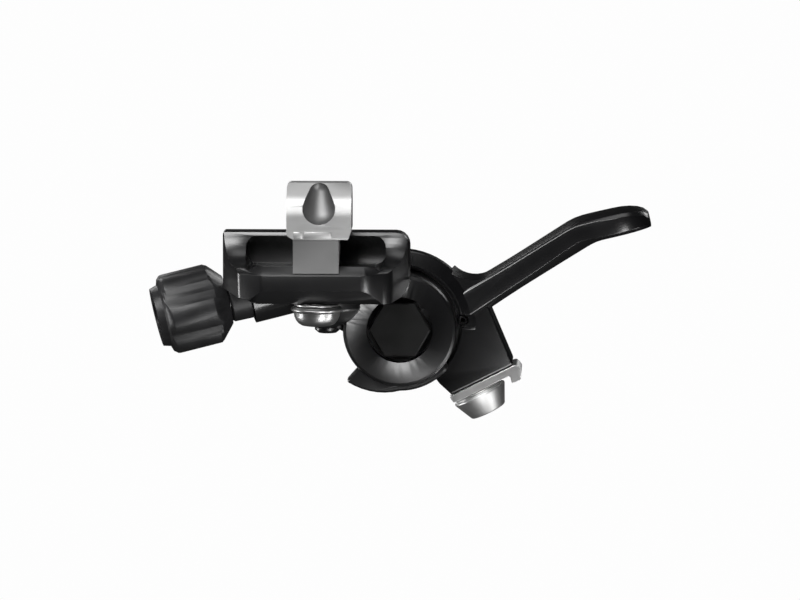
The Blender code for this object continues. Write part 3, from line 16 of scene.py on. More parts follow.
import bmesh
import bpy
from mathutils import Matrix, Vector

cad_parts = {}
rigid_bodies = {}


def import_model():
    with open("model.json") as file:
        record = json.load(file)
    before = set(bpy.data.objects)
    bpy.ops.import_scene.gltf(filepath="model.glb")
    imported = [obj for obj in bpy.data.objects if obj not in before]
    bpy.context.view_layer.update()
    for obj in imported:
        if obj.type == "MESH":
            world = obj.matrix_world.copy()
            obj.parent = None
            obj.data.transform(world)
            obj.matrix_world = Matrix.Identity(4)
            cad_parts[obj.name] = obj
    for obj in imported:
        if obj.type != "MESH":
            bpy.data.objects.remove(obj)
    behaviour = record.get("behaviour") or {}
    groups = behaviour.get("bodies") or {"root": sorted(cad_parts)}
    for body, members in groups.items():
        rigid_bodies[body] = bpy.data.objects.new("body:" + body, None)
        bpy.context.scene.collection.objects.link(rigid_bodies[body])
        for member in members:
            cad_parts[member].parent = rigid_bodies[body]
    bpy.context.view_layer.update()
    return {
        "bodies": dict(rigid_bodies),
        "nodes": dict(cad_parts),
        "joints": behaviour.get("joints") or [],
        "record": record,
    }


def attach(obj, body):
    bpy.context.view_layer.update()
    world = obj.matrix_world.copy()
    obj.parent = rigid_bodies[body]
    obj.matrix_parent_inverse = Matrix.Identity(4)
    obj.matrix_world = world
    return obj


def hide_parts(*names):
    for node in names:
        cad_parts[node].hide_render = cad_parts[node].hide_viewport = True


LOG = logging.getLogger("remote_lever")
MM = 0.001

MERGE_DISTANCE = 0.001 * MM
FLAT_ANGLE = math.radians(0.4)
ON_SURFACE = 0.02 * MM
# Material index of the faces that get a darker finish as painted shade.
PAINTED_SHADE_INDEX = 1

NOISE_MEAN = 0.5
EVEN_SHARE = 0.5
TONE_LOW = 0.3
TONE_HIGH = 0.7

Colour = tuple[float, float, float]
Point = tuple[float, float, float]
Pair = tuple[float, float]
Reshape = Callable[[bmesh.types.BMesh], None]


class Body(Enum):
    """The bodies that move as one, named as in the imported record."""

    BASE = "base"
    LEVER = "lever"
    CLAMP = "clamp"
    COLLAR = "collar"
    ADJUSTER = "adjuster"


class Socket:
    """A shader socket that adds Math nodes when it is used in arithmetic."""

    def __init__(self, graph: "Graph", link: bpy.types.NodeSocket) -> None:
        """Wraps one output socket.

        Args:
            graph: The material graph that the socket belongs to.
            link: The Blender output socket.
        """
        self.graph = graph
        self.link = link

    def _joined(self, operation: str, first: "Value", second: "Value") -> "Socket":
        """Adds one Math node.

        Args:
            operation: The Math node's operation.
            first: The first value or socket.
            second: The second value or socket.

        Returns:
            The node's result.
        """
        return self.graph.node("ShaderNodeMath", {"operation": operation}, {0: first, 1: second})

    def __add__(self, other: "Value") -> "Socket":
        """Sum of two values."""
        return self._joined("ADD", self, other)

    def __radd__(self, other: "Value") -> "Socket":
        """Sum with a number on the left."""
        return self._joined("ADD", other, self)

    def __sub__(self, other: "Value") -> "Socket":
        """Difference of two values."""
        return self._joined("SUBTRACT", self, other)

    def __rsub__(self, other: "Value") -> "Socket":
        """Difference with a number on the left."""
        return self._joined("SUBTRACT", other, self)

    def __mul__(self, other: "Value") -> "Socket":
        """Product of two values."""
        return self._joined("MULTIPLY", self, other)

    def __rmul__(self, other: "Value") -> "Socket":
        """Product with a number on the left."""
        return self._joined("MULTIPLY", other, self)


Value = Union[Socket, float]


class Graph:
    """The node graph of one material."""

    def __init__(self, name: str) -> None:
        """Starts an empty graph with its output.

        Args:
            name: The material's name.
        """
        self.material = bpy.data.materials.new(name)
        self.material.use_nodes = True
        self.tree = self.material.node_tree
        self.tree.nodes.clear()
        self.end = self.tree.nodes.new("ShaderNodeOutputMaterial")

    def node(
        self, kind: str, settings: dict[str, Any], values: dict[Any, Any], output: Any = 0
    ) -> Socket:
        """Adds any node.

        Args:
            kind: The node's type.
            settings: Its properties, which are set first.
            values: Its input sockets by name or number, as sockets to link or plain values.
            output: The name or number of the output that is wanted.

        Returns:
            The wanted output.
        """
        made = self.tree.nodes.new(kind)
        for key, value in settings.items():
            setattr(made, key, value)
        for key, value in values.items():
            if isinstance(value, Socket):
                self.tree.links.new(value.link, made.inputs[key])
            else:
                made.inputs[key].default_value = value
        return Socket(self, made.outputs[output])

    def place(self, scale: Sequence[float] = (1, 1, 1)) -> Socket:
        """Object coordinates, stretched by a scale for each axis.

        Args:
            scale: The scale along X, Y and Z.

        Returns:
            The coordinates.
        """
        raw = self.node("ShaderNodeTexCoord", {}, {}, "Object")
        values = {"Vector": raw, "Scale": tuple(scale)}
        return self.node("ShaderNodeMapping", {"vector_type": "POINT"}, values)

    def noise(self, place: Socket, size: float, detail: float = 3.0, rough: float = 0.55) -> Socket:
        """Soft noise between 0 and 1.

        Args:
            place: The coordinates.
            size: The size of its features.
            detail: The number of finer layers.
            rough: The weight of the finer layers.

        Returns:
            The noise.
        """
        return self.node(
            "ShaderNodeTexNoise",
            {"noise_dimensions": "3D"},
            {"Vector": place, "Scale": 1 / size, "Detail": detail, "Roughness": rough},
            "Fac",
        )

    def radius_about(self, point: Point, axis: Point) -> Socket:
        """The distance of the surface from an axis.

        Args:
            point: A point on the axis.
            axis: The axis's direction, of length 1.

        Returns:
            The distance.
        """
        kind = "ShaderNodeVectorMath"
        raw = self.node("ShaderNodeTexCoord", {}, {}, "Object")
        spoke = self.node(kind, {"operation": "SUBTRACT"}, {0: raw, 1: tuple(point)})
        across = self.node(kind, {"operation": "CROSS_PRODUCT"}, {0: spoke, 1: tuple(axis)})
        return self.node(kind, {"operation": "LENGTH"}, {0: across}, "Value")

    def rings(self, radius: Socket, pitch: float) -> Socket:
        """Fine turning marks along a distance.

        Args:
            radius: The distance that the marks follow.
            pitch: The size of a mark.

        Returns:
            Noise between 0 and 1 that varies only with the distance.
        """
        return self.node(
            "ShaderNodeTexNoise",
            {"noise_dimensions": "1D"},
            {"W": radius * (1 / pitch), "Scale": 1.0, "Detail": 2.0, "Roughness": 0.6},
            "Fac",
        )

    def tone(self, value: Value) -> Socket:
        """A smooth step from 0 to 1 over the middle of a noise.

        Args:
            value: The noise.

        Returns:
            The step.
        """
        return self.node(
            "ShaderNodeMapRange",
            {"interpolation_type": "SMOOTHSTEP"},
            {"Value": value, "From Min": TONE_LOW, "From Max": TONE_HIGH},
        )

    def mixed(self, share: Value, first: Colour, second: Colour) -> Socket:
        """A colour between two colours.

        Args:
            share: 0 for the first, 1 for the second.
            first: The first colour.
            second: The second colour.

        Returns:
            The colour.
        """
        settings = {"data_type": "RGBA", "clamp_factor": True}
        values = {0: share, 6: (*first, 1.0), 7: (*second, 1.0)}
        return self.node("ShaderNodeMix", settings, values, 2)

    def bump(self, height: Socket, depth: float) -> Socket:
        """A normal bent by a height map.

        Args:
            height: The height between 0 and 1.
            depth: The full height.

        Returns:
            The normal.
        """
        values = {"Height": height, "Strength": 1.0, "Distance": depth}
        return self.node("ShaderNodeBump", {}, values, "Normal")

    def finish(self, values: dict[str, Any]) -> bpy.types.Material:
        """Adds the Principled shader and returns the material.

        Args:
            values: The shader's sockets by name.

        Returns:
            The finished material.
        """
        shader = self.node("ShaderNodeBsdfPrincipled", {}, values)
        self.tree.links.new(shader.link, self.end.inputs["Surface"])
        return self.material


@dataclass(frozen=True)
class CoatedMetal:
    """Black coated metal with the fine grain of a blasted surface."""

    name: str
    dark: Colour
    light: Colour
    roughness: float
    spread: float
    grain: float
    depth: float
    specular: float
    patch: float = 4.0 * MM
    patch_share: float = 0.7
    grain_share: float = 0.3

    def material(self) -> bpy.types.Material:
        """Builds the material."""
        graph = Graph(self.name)
        place = graph.place()
        fine = graph.noise(place, self.grain, detail=2.0)
        broad = graph.noise(place, self.patch, detail=4.0)
        tone = graph.tone(broad * self.patch_share + fine * self.grain_share)
        return graph.finish(
            {
                "Base Color": graph.mixed(tone, self.dark, self.light),
                "Roughness": self.roughness + (broad - NOISE_MEAN) * self.spread,
                "Specular IOR Level": self.specular,
                "Normal": graph.bump(fine, self.depth),
            }
        )


@dataclass(frozen=True)
class BrushedMetal:
    """Metal with fine drawn marks, whose size along each axis is its streak."""

    name: str
    dark: Colour
    light: Colour
    roughness: float
    streak: Point
    depth: float
    patch: float = 3.0 * MM
    mark_spread: float = 0.12
    patch_spread: float = 0.08

    def material(self) -> bpy.types.Material:
        """Builds the material."""
        graph = Graph(self.name)
        stretched = graph.place([1 / length for length in self.streak])
        marks = graph.noise(stretched, size=1.0, detail=3.0, rough=0.6)
        broad = graph.noise(graph.place(), self.patch, detail=3.0)
        tone = marks * EVEN_SHARE + broad * EVEN_SHARE
        rough = self.roughness + (marks - NOISE_MEAN) * self.mark_spread
        return graph.finish(
            {
                "Base Color": graph.mixed(tone, self.dark, self.light),
                "Roughness": rough + (broad - NOISE_MEAN) * self.patch_spread,
                "Metallic": 1.0,
                "Normal": graph.bump(marks, self.depth),
            }
        )


@dataclass(frozen=True)
class TurnedMetal:
    """Metal with the rings that a lathe leaves about an axis."""

    name: str
    dark: Colour
    light: Colour
    roughness: float
    point: Point
    axis: Point
    metallic: float = 1.0
    pitch: float = 0.09 * MM
    depth: float = 0.006 * MM
    patch: float = 2.0 * MM
    spread: float = 0.1

    def material(self) -> bpy.types.Material:
        """Builds the material."""
        graph = Graph(self.name)
        rings = graph.rings(graph.radius_about(self.point, self.axis), self.pitch)
        broad = graph.noise(graph.place(), self.patch, detail=3.0)
        tone = rings * EVEN_SHARE + broad * EVEN_SHARE
        rough = self.roughness + (rings - NOISE_MEAN) * self.spread
        return graph.finish(
            {
                "Base Color": graph.mixed(tone, self.dark, self.light),
                "Roughness": rough + (broad - NOISE_MEAN) * self.spread,
                "Metallic": self.metallic,
                "Normal": graph.bump(rings, self.depth),
            }
        )


@dataclass(frozen=True)
class MouldedPlastic:
    """Matt plastic with the fine spark grain of its mould."""

    name: str
    dark: Colour
    light: Colour
    roughness: float
    grain: float
    depth: float
    specular: float = 0.4
    patch: float = 3.0 * MM
    grain_spread: float = 0.15
    patch_spread: float = 0.1

    def material(self) -> bpy.types.Material:
        """Builds the material."""
        graph = Graph(self.name)
        place = graph.place()
        fine = graph.noise(place, self.grain, detail=2.0, rough=0.7)
        broad = graph.noise(place, self.patch, detail=4.0)
        rough = self.roughness + (fine - NOISE_MEAN) * self.grain_spread
        return graph.finish(
            {
                "Base Color": graph.mixed(graph.tone(broad), self.dark, self.light),
                "Roughness": rough + (broad - NOISE_MEAN) * self.patch_spread,
                "Specular IOR Level": self.specular,
                "Normal": graph.bump(fine, self.depth),
            }
        )


Finish = Union[CoatedMetal, BrushedMetal, TurnedMetal, MouldedPlastic]

CAST_BLACK = CoatedMetal(
    "cast_black",
    dark=(0.004, 0.004, 0.0045),
    light=(0.006, 0.006, 0.0065),
    roughness=0.3,
    spread=0.03,
    grain=0.2 * MM,
    depth=0.0015 * MM,
    specular=1.0,
)
# Painted shade: a darker, duller black for the faces inside the base's slot, standing in for the
# shade in that recess.
SLOT_PAINTED_SHADE = CoatedMetal(
    "slot_painted_shade",
    dark=(0.002, 0.002, 0.002),
    light=(0.004, 0.004, 0.004),
    roughness=0.6,
    spread=0.08,
    grain=0.22 * MM,
    depth=0.003 * MM,
    specular=0.15,
)
LEVER_BLACK = CoatedMetal(
    "lever_black",
    dark=(0.003, 0.003, 0.0035),
    light=(0.005, 0.005, 0.0055),
    roughness=0.25,
    spread=0.03,
    grain=0.2 * MM,
    depth=0.0015 * MM,
    specular=1.0,
)
KNOB_GREY = MouldedPlastic(
    "knob_grey",
    dark=(0.012, 0.012, 0.0125),
    light=(0.019, 0.019, 0.02),
    roughness=0.38,
    grain=0.18 * MM,
    depth=0.006 * MM,
)
SLIP_PLASTIC = MouldedPlastic(
    "slip_plastic",
    dark=(0.6, 0.59, 0.55),
    light=(0.72, 0.71, 0.67),
    roughness=0.5,
    grain=0.15 * MM,
    depth=0.003 * MM,
)
SATIN_SILVER = BrushedMetal(
    "satin_silver",
    dark=(0.5, 0.5, 0.5),
    light=(0.62, 0.62, 0.615),
    roughness=0.5,
    streak=(1.2 * MM, 1.2 * MM, 0.07 * MM),
    depth=0.003 * MM,
)
# Painted shade: a darker silver for the teardrop recess and the neck under the bracket's head,
# standing in for the shade there.
SILVER_PAINTED_SHADE = BrushedMetal(
    "silver_painted_shade",
    dark=(0.22, 0.22, 0.22),
    light=(0.28, 0.28, 0.28),
    roughness=0.55,
    streak=(0.3 * MM, 0.3 * MM, 0.3 * MM),
    depth=0.002 * MM,
)
WIRE_STEEL = BrushedMetal(
    "wire_steel",
    dark=(0.3, 0.3, 0.3),
    light=(0.45, 0.45, 0.44),
    roughness=0.32,
    streak=(0.4 * MM, 0.1 * MM, 0.4 * MM),
    depth=0.002 * MM,
)
PIN_BLACK = BrushedMetal(
    "pin_black",
    dark=(0.03, 0.03, 0.03),
    light=(0.06, 0.06, 0.06),
    roughness=0.3,
    streak=(0.4 * MM, 0.1 * MM, 0.4 * MM),
    depth=0.001 * MM,
)
PLATE_STEEL = BrushedMetal(
    "plate_steel",
    dark=(0.8, 0.8, 0.8),
    light=(0.92, 0.92, 0.91),
    roughness=0.34,
    streak=(1.0 * MM, 0.08 * MM, 1.0 * MM),
    depth=0.002 * MM,
)
BUSH_BRONZE = BrushedMetal(
    "bush_bronze",
    dark=(0.4, 0.26, 0.12),
    light=(0.5, 0.34, 0.17),
    roughness=0.4,
    streak=(0.3 * MM, 0.3 * MM, 0.3 * MM),
    depth=0.002 * MM,
)


@dataclass(frozen=True)
class Rounding:
    """How a solid's edges are rounded: the width, the least angle in degrees and the faces."""

    width: float
    angle: float = 32.0
    segments: int = 2


class Part(ABC):
    """What the sub-assemblies share: finding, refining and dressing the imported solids."""

    body: Body

    def __init__(self, frame: dict[str, Any]) -> None:
        """Keeps the frame.
        """
        self.frame = frame

    @abstractmethod
    def build(self) -> None:
        """Dresses the sub-assembly's solids and adds its own pieces."""

    def dress(self, node: str, finish: Finish) -> None:
        """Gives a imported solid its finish.

        Args:
            node: The solid's name.
            finish: The finish.
        """
        mesh = self.frame["nodes"][node].data
        mesh.materials.clear()
        mesh.materials.append(finish.material())
        LOG.info("dressed %s", node)

    def refine(
        self,
        node: str,
        finish: Finish,
        edges: Rounding,
        shape: Optional[Reshape] = None,
        painted_shade: Optional[Finish] = None,
    ) -> None:
        """Shows a merged copy of a solid, with smooth faces and rounded edges, in its place.

        Args:
            node: The solid's name.
            finish: The copy's finish.
            edges: How its edges are rounded.
            shape: What reshapes or marks the copy's mesh before its edges are rounded.
            painted_shade: The darker finish, painted shade, of the faces that shape marks.
        """
        bm = bmesh.new()
        bm.from_mesh(self.frame["nodes"][node].data)
        bmesh.ops.remove_doubles(bm, verts=bm.verts, dist=MERGE_DISTANCE)
        bmesh.ops.dissolve_limit(bm, angle_limit=FLAT_ANGLE, verts=bm.verts, edges=bm.edges)
        if shape:
            shape(bm)
        copy = self.add_piece(f"{node}_shown", bm, finish)
        # The marked faces take this second material, a darker finish that paints shade on them.
        if painted_shade:
            copy.data.materials.append(painted_shade.material())
        copy.data.set_sharp_from_angle(angle=math.radians(edges.angle))
        bevel = copy.modifiers.new("rounded edges", "BEVEL")
        bevel.width = edges.width
        bevel.segments = edges.segments
        bevel.limit_method = "ANGLE"
        bevel.angle_limit = math.radians(edges.angle)
        bevel.harden_normals = True
        bevel.use_clamp_overlap = True
        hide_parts(node)

    def add_piece(self, name: str, bm: bmesh.types.BMesh, finish: Finish) -> bpy.types.Object:
        """Makes an object of a bmesh, dresses it and lets it ride on this part's body.

        Args:
            name: The piece's name.
            bm: Its mesh, which is freed.
            finish: Its finish.

        Returns:
            The object.
        """
        mesh = bpy.data.meshes.new(name)
        bm.to_mesh(mesh)
        bm.free()
        mesh.shade_smooth()
        mesh.materials.append(finish.material())
        piece = bpy.data.objects.new(name, mesh)
        bpy.context.scene.collection.objects.link(piece)
        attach(piece, self.body.value)
        LOG.info("made %s", name)
        return piece


class BaseCasting(Part):
    """The cast base with its saddle block, pivot housing and cable boss."""

    body = Body.BASE
    edges: Rounding = Rounding(0.24 * MM)
    slot_low: Point = (-11.55 * MM, -9.1 * MM, -2.4 * MM)
    slot_high: Point = (11.55 * MM, -5.9 * MM, 2.7 * MM)

    def build(self) -> None:
        """Dresses the casting."""
        # The faces inside the slot get a darker black as painted shade.
        self.refine("base_body", CAST_BLACK, self.edges, self.mark_slot_shade, SLOT_PAINTED_SHADE)

    def mark_slot_shade(self, bm: bmesh.types.BMesh) -> None:
        """Marks the faces inside the slot for the darker black that paints shade there.

        Args:
            bm: The casting's mesh.
        """
        for face in bm.faces:
            if all(self.in_slot(vert.co) for vert in face.verts):
                face.material_index = PAINTED_SHADE_INDEX

    def in_slot(self, place: Vector) -> bool:
        """Whether a point lies in the box about the slot.

        Args:
            place: The point.

        Returns:
            True where it does.
        """
        box = zip(self.slot_low, place, self.slot_high)
        return all(low < value < high for low, value, high in box)


class AxleStack(Part):
    """The axle, its nut and washers, and the return spring."""

    body = Body.BASE
    pivot: Point = (13.66 * MM, 0.0, -13.2 * MM)
    along: Point = (0.0, 1.0, 0.0)
    axle_edges: Rounding = Rounding(0.22 * MM)
    nut_edges: Rounding = Rounding(0.2 * MM)
    washer_edges: Rounding = Rounding(0.06 * MM)

    def build(self) -> None:
        """Dresses the stack."""
        black = TurnedMetal(
            "axle_black",
            dark=(0.004, 0.004, 0.004),
            light=(0.009, 0.009, 0.009),
            roughness=0.34,
            point=self.pivot,
            axis=self.along,
            metallic=0.0,
        )
        steel = TurnedMetal(
            "axle_steel",
            dark=(0.5, 0.5, 0.5),
            light=(0.7, 0.7, 0.69),
            roughness=0.3,
            point=self.pivot,
            axis=self.along,
        )
        self.refine("pivot_axle", black, self.axle_edges)
        self.refine("axle_nut", black, self.nut_edges)
        self.refine("axle_washer", steel, self.washer_edges)
        self.refine("thrust_washer_front", SLIP_PLASTIC, self.washer_edges)
        self.refine("thrust_washer_rear", SLIP_PLASTIC, self.washer_edges)
        self.dress("return_spring", WIRE_STEEL)


class ThumbLever(Part):
    """The lever with its bushes, spring pin and cable clamp.

    The fillet between the arm and the hub's ring is an arc seen from the front, and its places
    are X and Z. Its front edge drops on to the ring from fillet_low degrees about the pivot over
    the next fillet_span degrees.
    """

    body = Body.LEVER
    lever_edges: Rounding = Rounding(0.5 * MM, segments=3)
    bush_edges: Rounding = Rounding(0.08 * MM)
    pin_edges: Rounding = Rounding(0.1 * MM)
    plate_edges: Rounding = Rounding(0.42 * MM, segments=3)
    bolt_edges: Rounding = Rounding(0.2 * MM)
    bolt_point: Point = (19.42 * MM, 11.6 * MM, -10.35 * MM)
    bolt_axis: Point = (0.443, 0.0, -0.8965)
    pivot: Pair = (13.66 * MM, -13.2 * MM)
    fillet_centre: Pair = (25.9 * MM, -0.61 * MM)
    fillet_radius: float = 5.0 * MM
    fillet_front: float = 7.15 * MM
    fillet_low: float = 35.0
    fillet_span: float = 10.8
    fillet_drop: float = 0.51 * MM

    def build(self) -> None:
        """Dresses the lever and what it carries."""
        head = TurnedMetal(
            "pinch_bolt_steel",
            dark=(0.6, 0.6, 0.6),
            light=(0.78, 0.78, 0.77),
            roughness=0.46,
            point=self.bolt_point,
            axis=self.bolt_axis,
        )
        self.refine("lever", LEVER_BLACK, self.lever_edges, self.blend_fillet)
        self.refine("bush_front", BUSH_BRONZE, self.bush_edges)
        self.refine("bush_rear", BUSH_BRONZE, self.bush_edges)
        self.refine("spring_pin", PIN_BLACK, self.pin_edges)
        self.refine("pinch_washer", PLATE_STEEL, self.plate_edges)
        self.refine("pinch_bolt", head, self.bolt_edges)

    def blend_fillet(self, bm: bmesh.types.BMesh) -> None:
        """Lets the front edge of the fillet run out on to the chamfer of the hub's ring.

        Args:
            bm: The lever's mesh.
        """
        centre, pivot = Vector(self.fillet_centre), Vector(self.pivot)
        for vert in bm.verts:
            place = Vector((vert.co.x, vert.co.z))
            on_arc = abs((place - centre).length - self.fillet_radius) < ON_SURFACE
            if on_arc and abs(vert.co.y - self.fillet_front) < ON_SURFACE:
                spoke = place - pivot
                angle = math.degrees(math.atan2(spoke.y, spoke.x))
                share = min(max((angle - self.fillet_low) / self.fillet_span, 0.0), 1.0)
                place = pivot + spoke * (1 - self.fillet_drop * share / spoke.length)
                vert.co.x, vert.co.z = place.x, place.y


class ClampHook(Part):
    """The bracket that hooks on to the clamp band, with its bolt and washer.

    The teardrop in its head is the recess that a row of balls leaves, from a large one at
    dimple_point to a smaller one dimple_length further along dimple_axis. The teardrop's faces
    and the neck's get a darker silver as painted shade.
    """

    body = Body.CLAMP
    bracket_edges: Rounding = Rounding(0.26 * MM)
    bolt_edges: Rounding = Rounding(0.12 * MM)
    washer_edges: Rounding = Rounding(0.05 * MM)
    bolt_point: Point = (0.38 * MM, -6.7 * MM, 0.0)
    bolt_axis: Point = (0.0, 0.0, 1.0)
    neck_top: float = 3.2 * MM
    dimple_point: Point = (0.9 * MM, -11.45 * MM, 8.45 * MM)
    dimple_axis: Point = (0.0, 0.6157, 0.788)
    dimple_length: float = 3.6 * MM
    dimple_radius: float = 2.7 * MM
    dimple_taper: float = 1.2 * MM
    dimple_steps: int = 24
    dimple_slack: float = 0.08 * MM
    band_front: float = -11.15 * MM
    band_low: float = 3.5 * MM
    plate_sides: Pair = (-1.56 * MM, 2.9 * MM)
    plate_top: float = 4.62 * MM
    square_sides: Pair = (-3.22 * MM, -1.78 * MM)
    square_top: float = 4.56 * MM
    plate_proud: float = 0.08 * MM
    plate_wall: float = 0.4 * MM
    plate_edge: float = 0.9
    plate_sharp: float = 50.0

    def build(self) -> None:
        """Dresses the bracket and its bolt, and adds the plates on the band."""
        steel = TurnedMetal(
            "clamp_bolt_steel",
            dark=(0.42, 0.42, 0.42),
            light=(0.58, 0.58, 0.575),
            roughness=0.36,
            point=self.bolt_point,
            axis=self.bolt_axis,
        )
        # The teardrop and the neck below the head get a darker silver as painted shade.
        self.refine(
            "clamp_bracket", SATIN_SILVER, self.bracket_edges, self.mark_painted_shade, SILVER_PAINTED_SHADE
        )
        self.band_plate("band_plate", self.plate_sides, self.plate_top)
        self.band_plate("band_square", self.square_sides, self.square_top)
        self.refine("clamp_bolt", steel, self.bolt_edges)
        self.refine("clamp_washer", steel, self.washer_edges)

    def mark_painted_shade(self, bm: bmesh.types.BMesh) -> None:
        """Marks the faces of the teardrop and those of the neck below the head for painted shade.

        Args:
            bm: The bracket's mesh.
        """
        balls = self.dimple_balls()
        for face in bm.faces:
            on_neck = all(vert.co.z < self.neck_top for vert in face.verts)
            if on_neck or all(self.in_dimple(vert.co, balls) for vert in face.verts):
                face.material_index = PAINTED_SHADE_INDEX

    def dimple_balls(self) -> list[tuple[Vector, float]]:
        """The balls that leave the teardrop.

        Returns:
            Each one's centre and radius.
        """
        start, axis = Vector(self.dimple_point), Vector(self.dimple_axis)
        steps = self.dimple_steps
        return [
            (
                start + axis * (self.dimple_length * i / steps),
                self.dimple_radius - self.dimple_taper * i / steps,
            )
            for i in range(steps + 1)
        ]

    def in_dimple(self, place: Vector, balls: list[tuple[Vector, float]]) -> bool:
        """Whether a point lies in or on the teardrop.

        Args:
            place: The point.
            balls: The centres and radii of its balls.

        Returns:
            True where it does.
        """
        return min((place - spot).length - size for spot, size in balls) < self.dimple_slack

    def band_plate(self, name: str, sides: Pair, top: float) -> None:
        """A thin plate on the front of the band under the head.

        Args:
            name: The plate's name.
            sides: Its left and right sides.
            top: Its upper side.
        """
        left, right = sides
        bm = bmesh.new()
        bmesh.ops.create_cube(bm, size=1.0)
        thick = self.plate_proud + self.plate_wall
        size = (right - left, thick, top - self.band_low)
        front = self.band_front - self.plate_proud
        middle = ((left + right) / 2, front + thick / 2, (self.band_low + top) / 2)
        bmesh.ops.scale(bm, verts=bm.verts, vec=size)
        bmesh.ops.translate(bm, verts=bm.verts, vec=middle)
        rim = [edge for edge in bm.edges if all(v.co.y < self.band_front for v in edge.verts)]
        bmesh.ops.bevel(
            bm,
            geom=rim,
            offset=self.plate_proud * self.plate_edge,
            segments=2,
            profile=0.5,
            affect="EDGES",
            material=-1,
        )
        plate = self.add_piece(name, bm, SATIN_SILVER)
        plate.data.set_sharp_from_angle(angle=math.radians(self.plate_sharp))


class BarrelAdjuster(Part):
    """The knob with its barrel."""

    body = Body.ADJUSTER
    knob_edges: Rounding = Rounding(0.5 * MM, angle=34.0, segments=3)
    barrel_edges: Rounding = Rounding(0.06 * MM)
    end: Point = (-26.7 * MM, 5.8 * MM, -11.8 * MM)
    axis: Point = (0.9615, 0.149, 0.2308)
    groove_radius: float = 5.88 * MM
    groove_slack: float = 0.03 * MM
    eased_radius: float = 6.13 * MM

    def build(self) -> None:
        """Dresses the knob and the barrel."""
        steel = TurnedMetal(
            "barrel_steel",
            dark=(0.4, 0.4, 0.4),
            light=(0.6, 0.6, 0.59),
            roughness=0.3,
            point=self.end,
            axis=self.axis,
        )
        self.refine("adjuster_knob", KNOB_GREY, self.knob_edges, self.ease_grooves)
        self.refine("adjuster_barrel", steel, self.barrel_edges)

    def ease_grooves(self, bm: bmesh.types.BMesh) -> None:
        """Rounds out the bottoms of the grooves between the knob's lobes.

        Args:
            bm: The knob's mesh.
        """
        start, axis = Vector(self.end), Vector(self.axis).normalized()
        for vert in bm.verts:
            along = start + axis * (vert.co - start).dot(axis)
            spoke = vert.co - along
            if abs(spoke.length - self.groove_radius) < self.groove_slack:
                vert.co = along + spoke.normalized() * self.eased_radius


class AdjusterCollar(Part):
    """The collar that travels with the barrel, with its spring."""

    body = Body.COLLAR
    edges: Rounding = Rounding(0.12 * MM)

    def build(self) -> None:
        """Dresses the collar and its spring."""
        self.refine("adjuster_collar", KNOB_GREY, self.edges)
        self.dress("adjuster_spring", WIRE_STEEL)


@dataclass(frozen=True)
class Softbox:
    """One soft area light that faces the object.

    The azimuth is in degrees from the front towards the right, the elevation in degrees above
    the horizon, the reach, width and height in metres and the power in watts.
    """

    name: str
    azimuth: float
    elevation: float
    reach: float
    width: float
    height: float
    power: float


SOFTBOXES = (
    Softbox("upper_front", -30, 42, 0.8, 0.75, 0.36, 7.4),
    Softbox("overhead", 20, 84, 0.8, 0.4, 0.3, 0.5),
    Softbox("left_side", -93, -10, 0.8, 0.14, 0.5, 2.8),
    Softbox("front_strip", -14, 15, 1.5, 0.16, 0.16, 1.0),
    Softbox("low_right", 28, -30, 0.7, 0.13, 0.56, 2.6),
    Softbox("right_side", 72, -36, 0.9, 0.2, 0.34, 1.5),
    Softbox("rear_left", -148, 24, 1.1, 0.5, 0.4, 2.0),
    Softbox("rear_right", 148, 24, 1.1, 0.5, 0.4, 2.4),
)


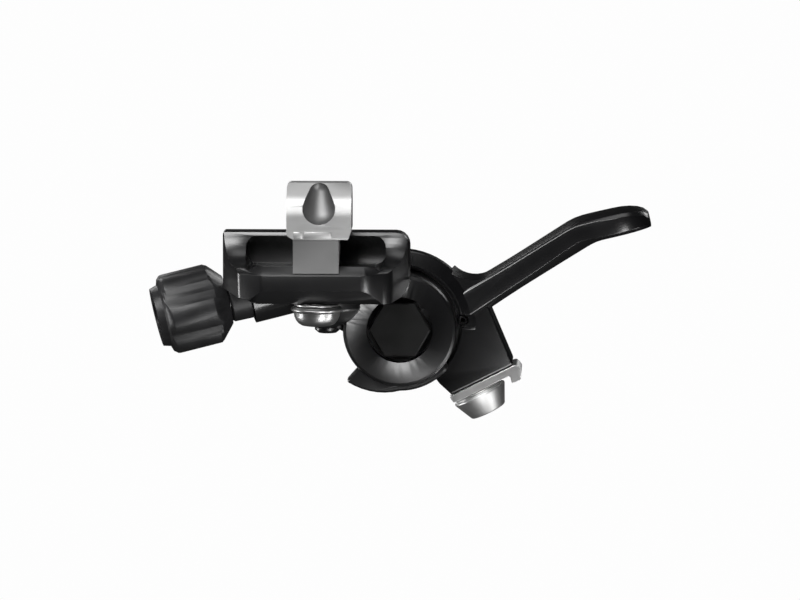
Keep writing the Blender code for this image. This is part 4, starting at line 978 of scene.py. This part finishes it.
class Studio:
    """The floor, the soft light and the camera.

    The floor is a wide bowl far below the object. The camera sees it evenly white, but it throws
    back little light, so that nearly all of the object's light comes from the softboxes.
    """

    target: Vector = Vector((13.66, 4.0, -8.5)) * MM
    distance: float = 1.2
    elevation: float = 7.5
    azimuth: float = 1.75
    view_width: float = 132.0 * MM
    sensor: float = 36.0
    clip_start: float = 0.01
    clip_end: float = 50.0
    floor_height: float = -0.75
    floor_reach: float = 3.2
    floor_sweep: float = 1.2
    floor_wall: float = 4.0
    floor_merge: float = 1.0 * MM
    sweep_steps: int = 9
    bowl_steps: int = 64
    paper_grain: float = 0.4
    paper_dark: Colour = (0.06, 0.06, 0.06)
    paper_light: Colour = (0.07, 0.07, 0.07)
    paper_glow: Colour = (0.985, 0.985, 0.985)
    room_light: float = 0.03

    def build(self) -> None:
        """Sets up everything that isn't the object."""
        bpy.context.scene.view_settings.view_transform = "Standard"
        self.floor()
        self.world()
        self.camera()
        for softbox in SOFTBOXES:
            self.light(softbox)

    def outline(self) -> list[Pair]:
        """The bowl's section, from its middle to the top of its wall.

        Returns:
            The distances from the middle and the heights above the floor.
        """
        turns = [math.radians(90 * i / self.sweep_steps) for i in range(self.sweep_steps + 1)]
        foot = self.floor_reach - self.floor_sweep
        sweep = [
            (foot + self.floor_sweep * math.sin(turn), self.floor_sweep * (1 - math.cos(turn)))
            for turn in turns
        ]
        return [(0.0, 0.0), *sweep, (self.floor_reach, self.floor_wall)]

    def floor(self) -> None:
        """A pale floor that sweeps up all round."""
        bm = bmesh.new()
        verts = [
            bm.verts.new((reach, 0.0, self.floor_height + rise)) for reach, rise in self.outline()
        ]
        edges = [bm.edges.new(pair) for pair in zip(verts, verts[1:])]
        bmesh.ops.spin(
            bm,
            geom=verts + edges,
            cent=(0, 0, 0),
            axis=(0, 0, 1),
            dvec=(0, 0, 0),
            angle=math.tau,
            steps=self.bowl_steps,
            use_merge=True,
        )
        bmesh.ops.remove_doubles(bm, verts=bm.verts, dist=self.floor_merge)
        bmesh.ops.recalc_face_normals(bm, faces=bm.faces)
        mesh = bpy.data.meshes.new("studio_floor")
        bm.to_mesh(mesh)
        bm.free()
        mesh.shade_smooth()
        mesh.materials.append(self.paper())
        floor = bpy.data.objects.new("studio_floor", mesh)
        bpy.context.scene.collection.objects.link(floor)

    def paper(self) -> bpy.types.Material:
        """The floor's paper, which glows evenly where the camera sees it.

        Returns:
            The material.
        """
        graph = Graph("studio_paper")
        seen = graph.node("ShaderNodeLightPath", {}, {}, "Is Camera Ray")
        grain = graph.noise(graph.place(), self.paper_grain, detail=2.0)
        colour = graph.mixed(grain, self.paper_dark, self.paper_light)
        paper = graph.node("ShaderNodeBsdfDiffuse", {}, {"Color": colour})
        shine = {"Color": (*self.paper_glow, 1.0), "Strength": 1.0}
        glow = graph.node("ShaderNodeEmission", {}, shine)
        both = graph.node("ShaderNodeMixShader", {}, {0: seen, 1: paper, 2: glow})
        graph.tree.links.new(both.link, graph.end.inputs["Surface"])
        return graph.material

    def world(self) -> None:
        """An even, nearly dark room."""
        world = bpy.data.worlds.new("studio_room")
        world.use_nodes = True
        background = world.node_tree.nodes["Background"]
        background.inputs["Color"].default_value = (1.0, 1.0, 1.0, 1.0)
        background.inputs["Strength"].default_value = self.room_light
        bpy.context.scene.world = world

    def camera(self) -> None:
        """A long lens at the photograph's angle."""
        data = bpy.data.cameras.new("studio_camera")
        data.sensor_width = self.sensor
        data.lens = self.sensor * self.distance / self.view_width
        data.clip_start = self.clip_start
        data.clip_end = self.clip_end
        camera = bpy.data.objects.new("studio_camera", data)
        self.aim(camera, self.azimuth, self.elevation, self.distance)
        bpy.context.scene.camera = camera

    def light(self, softbox: Softbox) -> None:
        """Adds one softbox.

        Args:
            softbox: Its place, size and power.
        """
        data = bpy.data.lights.new(softbox.name, "AREA")
        data.shape = "RECTANGLE"
        data.size, data.size_y = softbox.width, softbox.height
        data.energy = softbox.power
        lamp = bpy.data.objects.new(softbox.name, data)
        self.aim(lamp, softbox.azimuth, softbox.elevation, softbox.reach)

    def aim(self, thing: bpy.types.Object, azimuth: float, elevation: float, reach: float) -> None:
        """Places a camera or light around the target, faces it there and links it.

        Args:
            thing: The camera or light.
            azimuth: Degrees from the front towards the right.
            elevation: Degrees above the horizon.
            reach: Its distance from the target.
        """
        side, up = math.radians(azimuth), math.radians(elevation)
        outward = Vector(
            (math.sin(side) * math.cos(up), -math.cos(side) * math.cos(up), math.sin(up))
        )
        thing.location = self.target + outward * reach
        thing.rotation_euler = (-outward).to_track_quat("-Z", "Y").to_euler()
        bpy.context.scene.collection.objects.link(thing)


def main() -> None:
    """Builds every sub-assembly in order, then the studio."""
    logging.basicConfig(level=logging.INFO, format="%(name)s: %(message)s")
    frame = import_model()
    for kind in (BaseCasting, AxleStack, ThumbLever, ClampHook, BarrelAdjuster, AdjusterCollar):
        kind(frame).build()
    Studio().build()


if __name__ == "__main__":
    main()
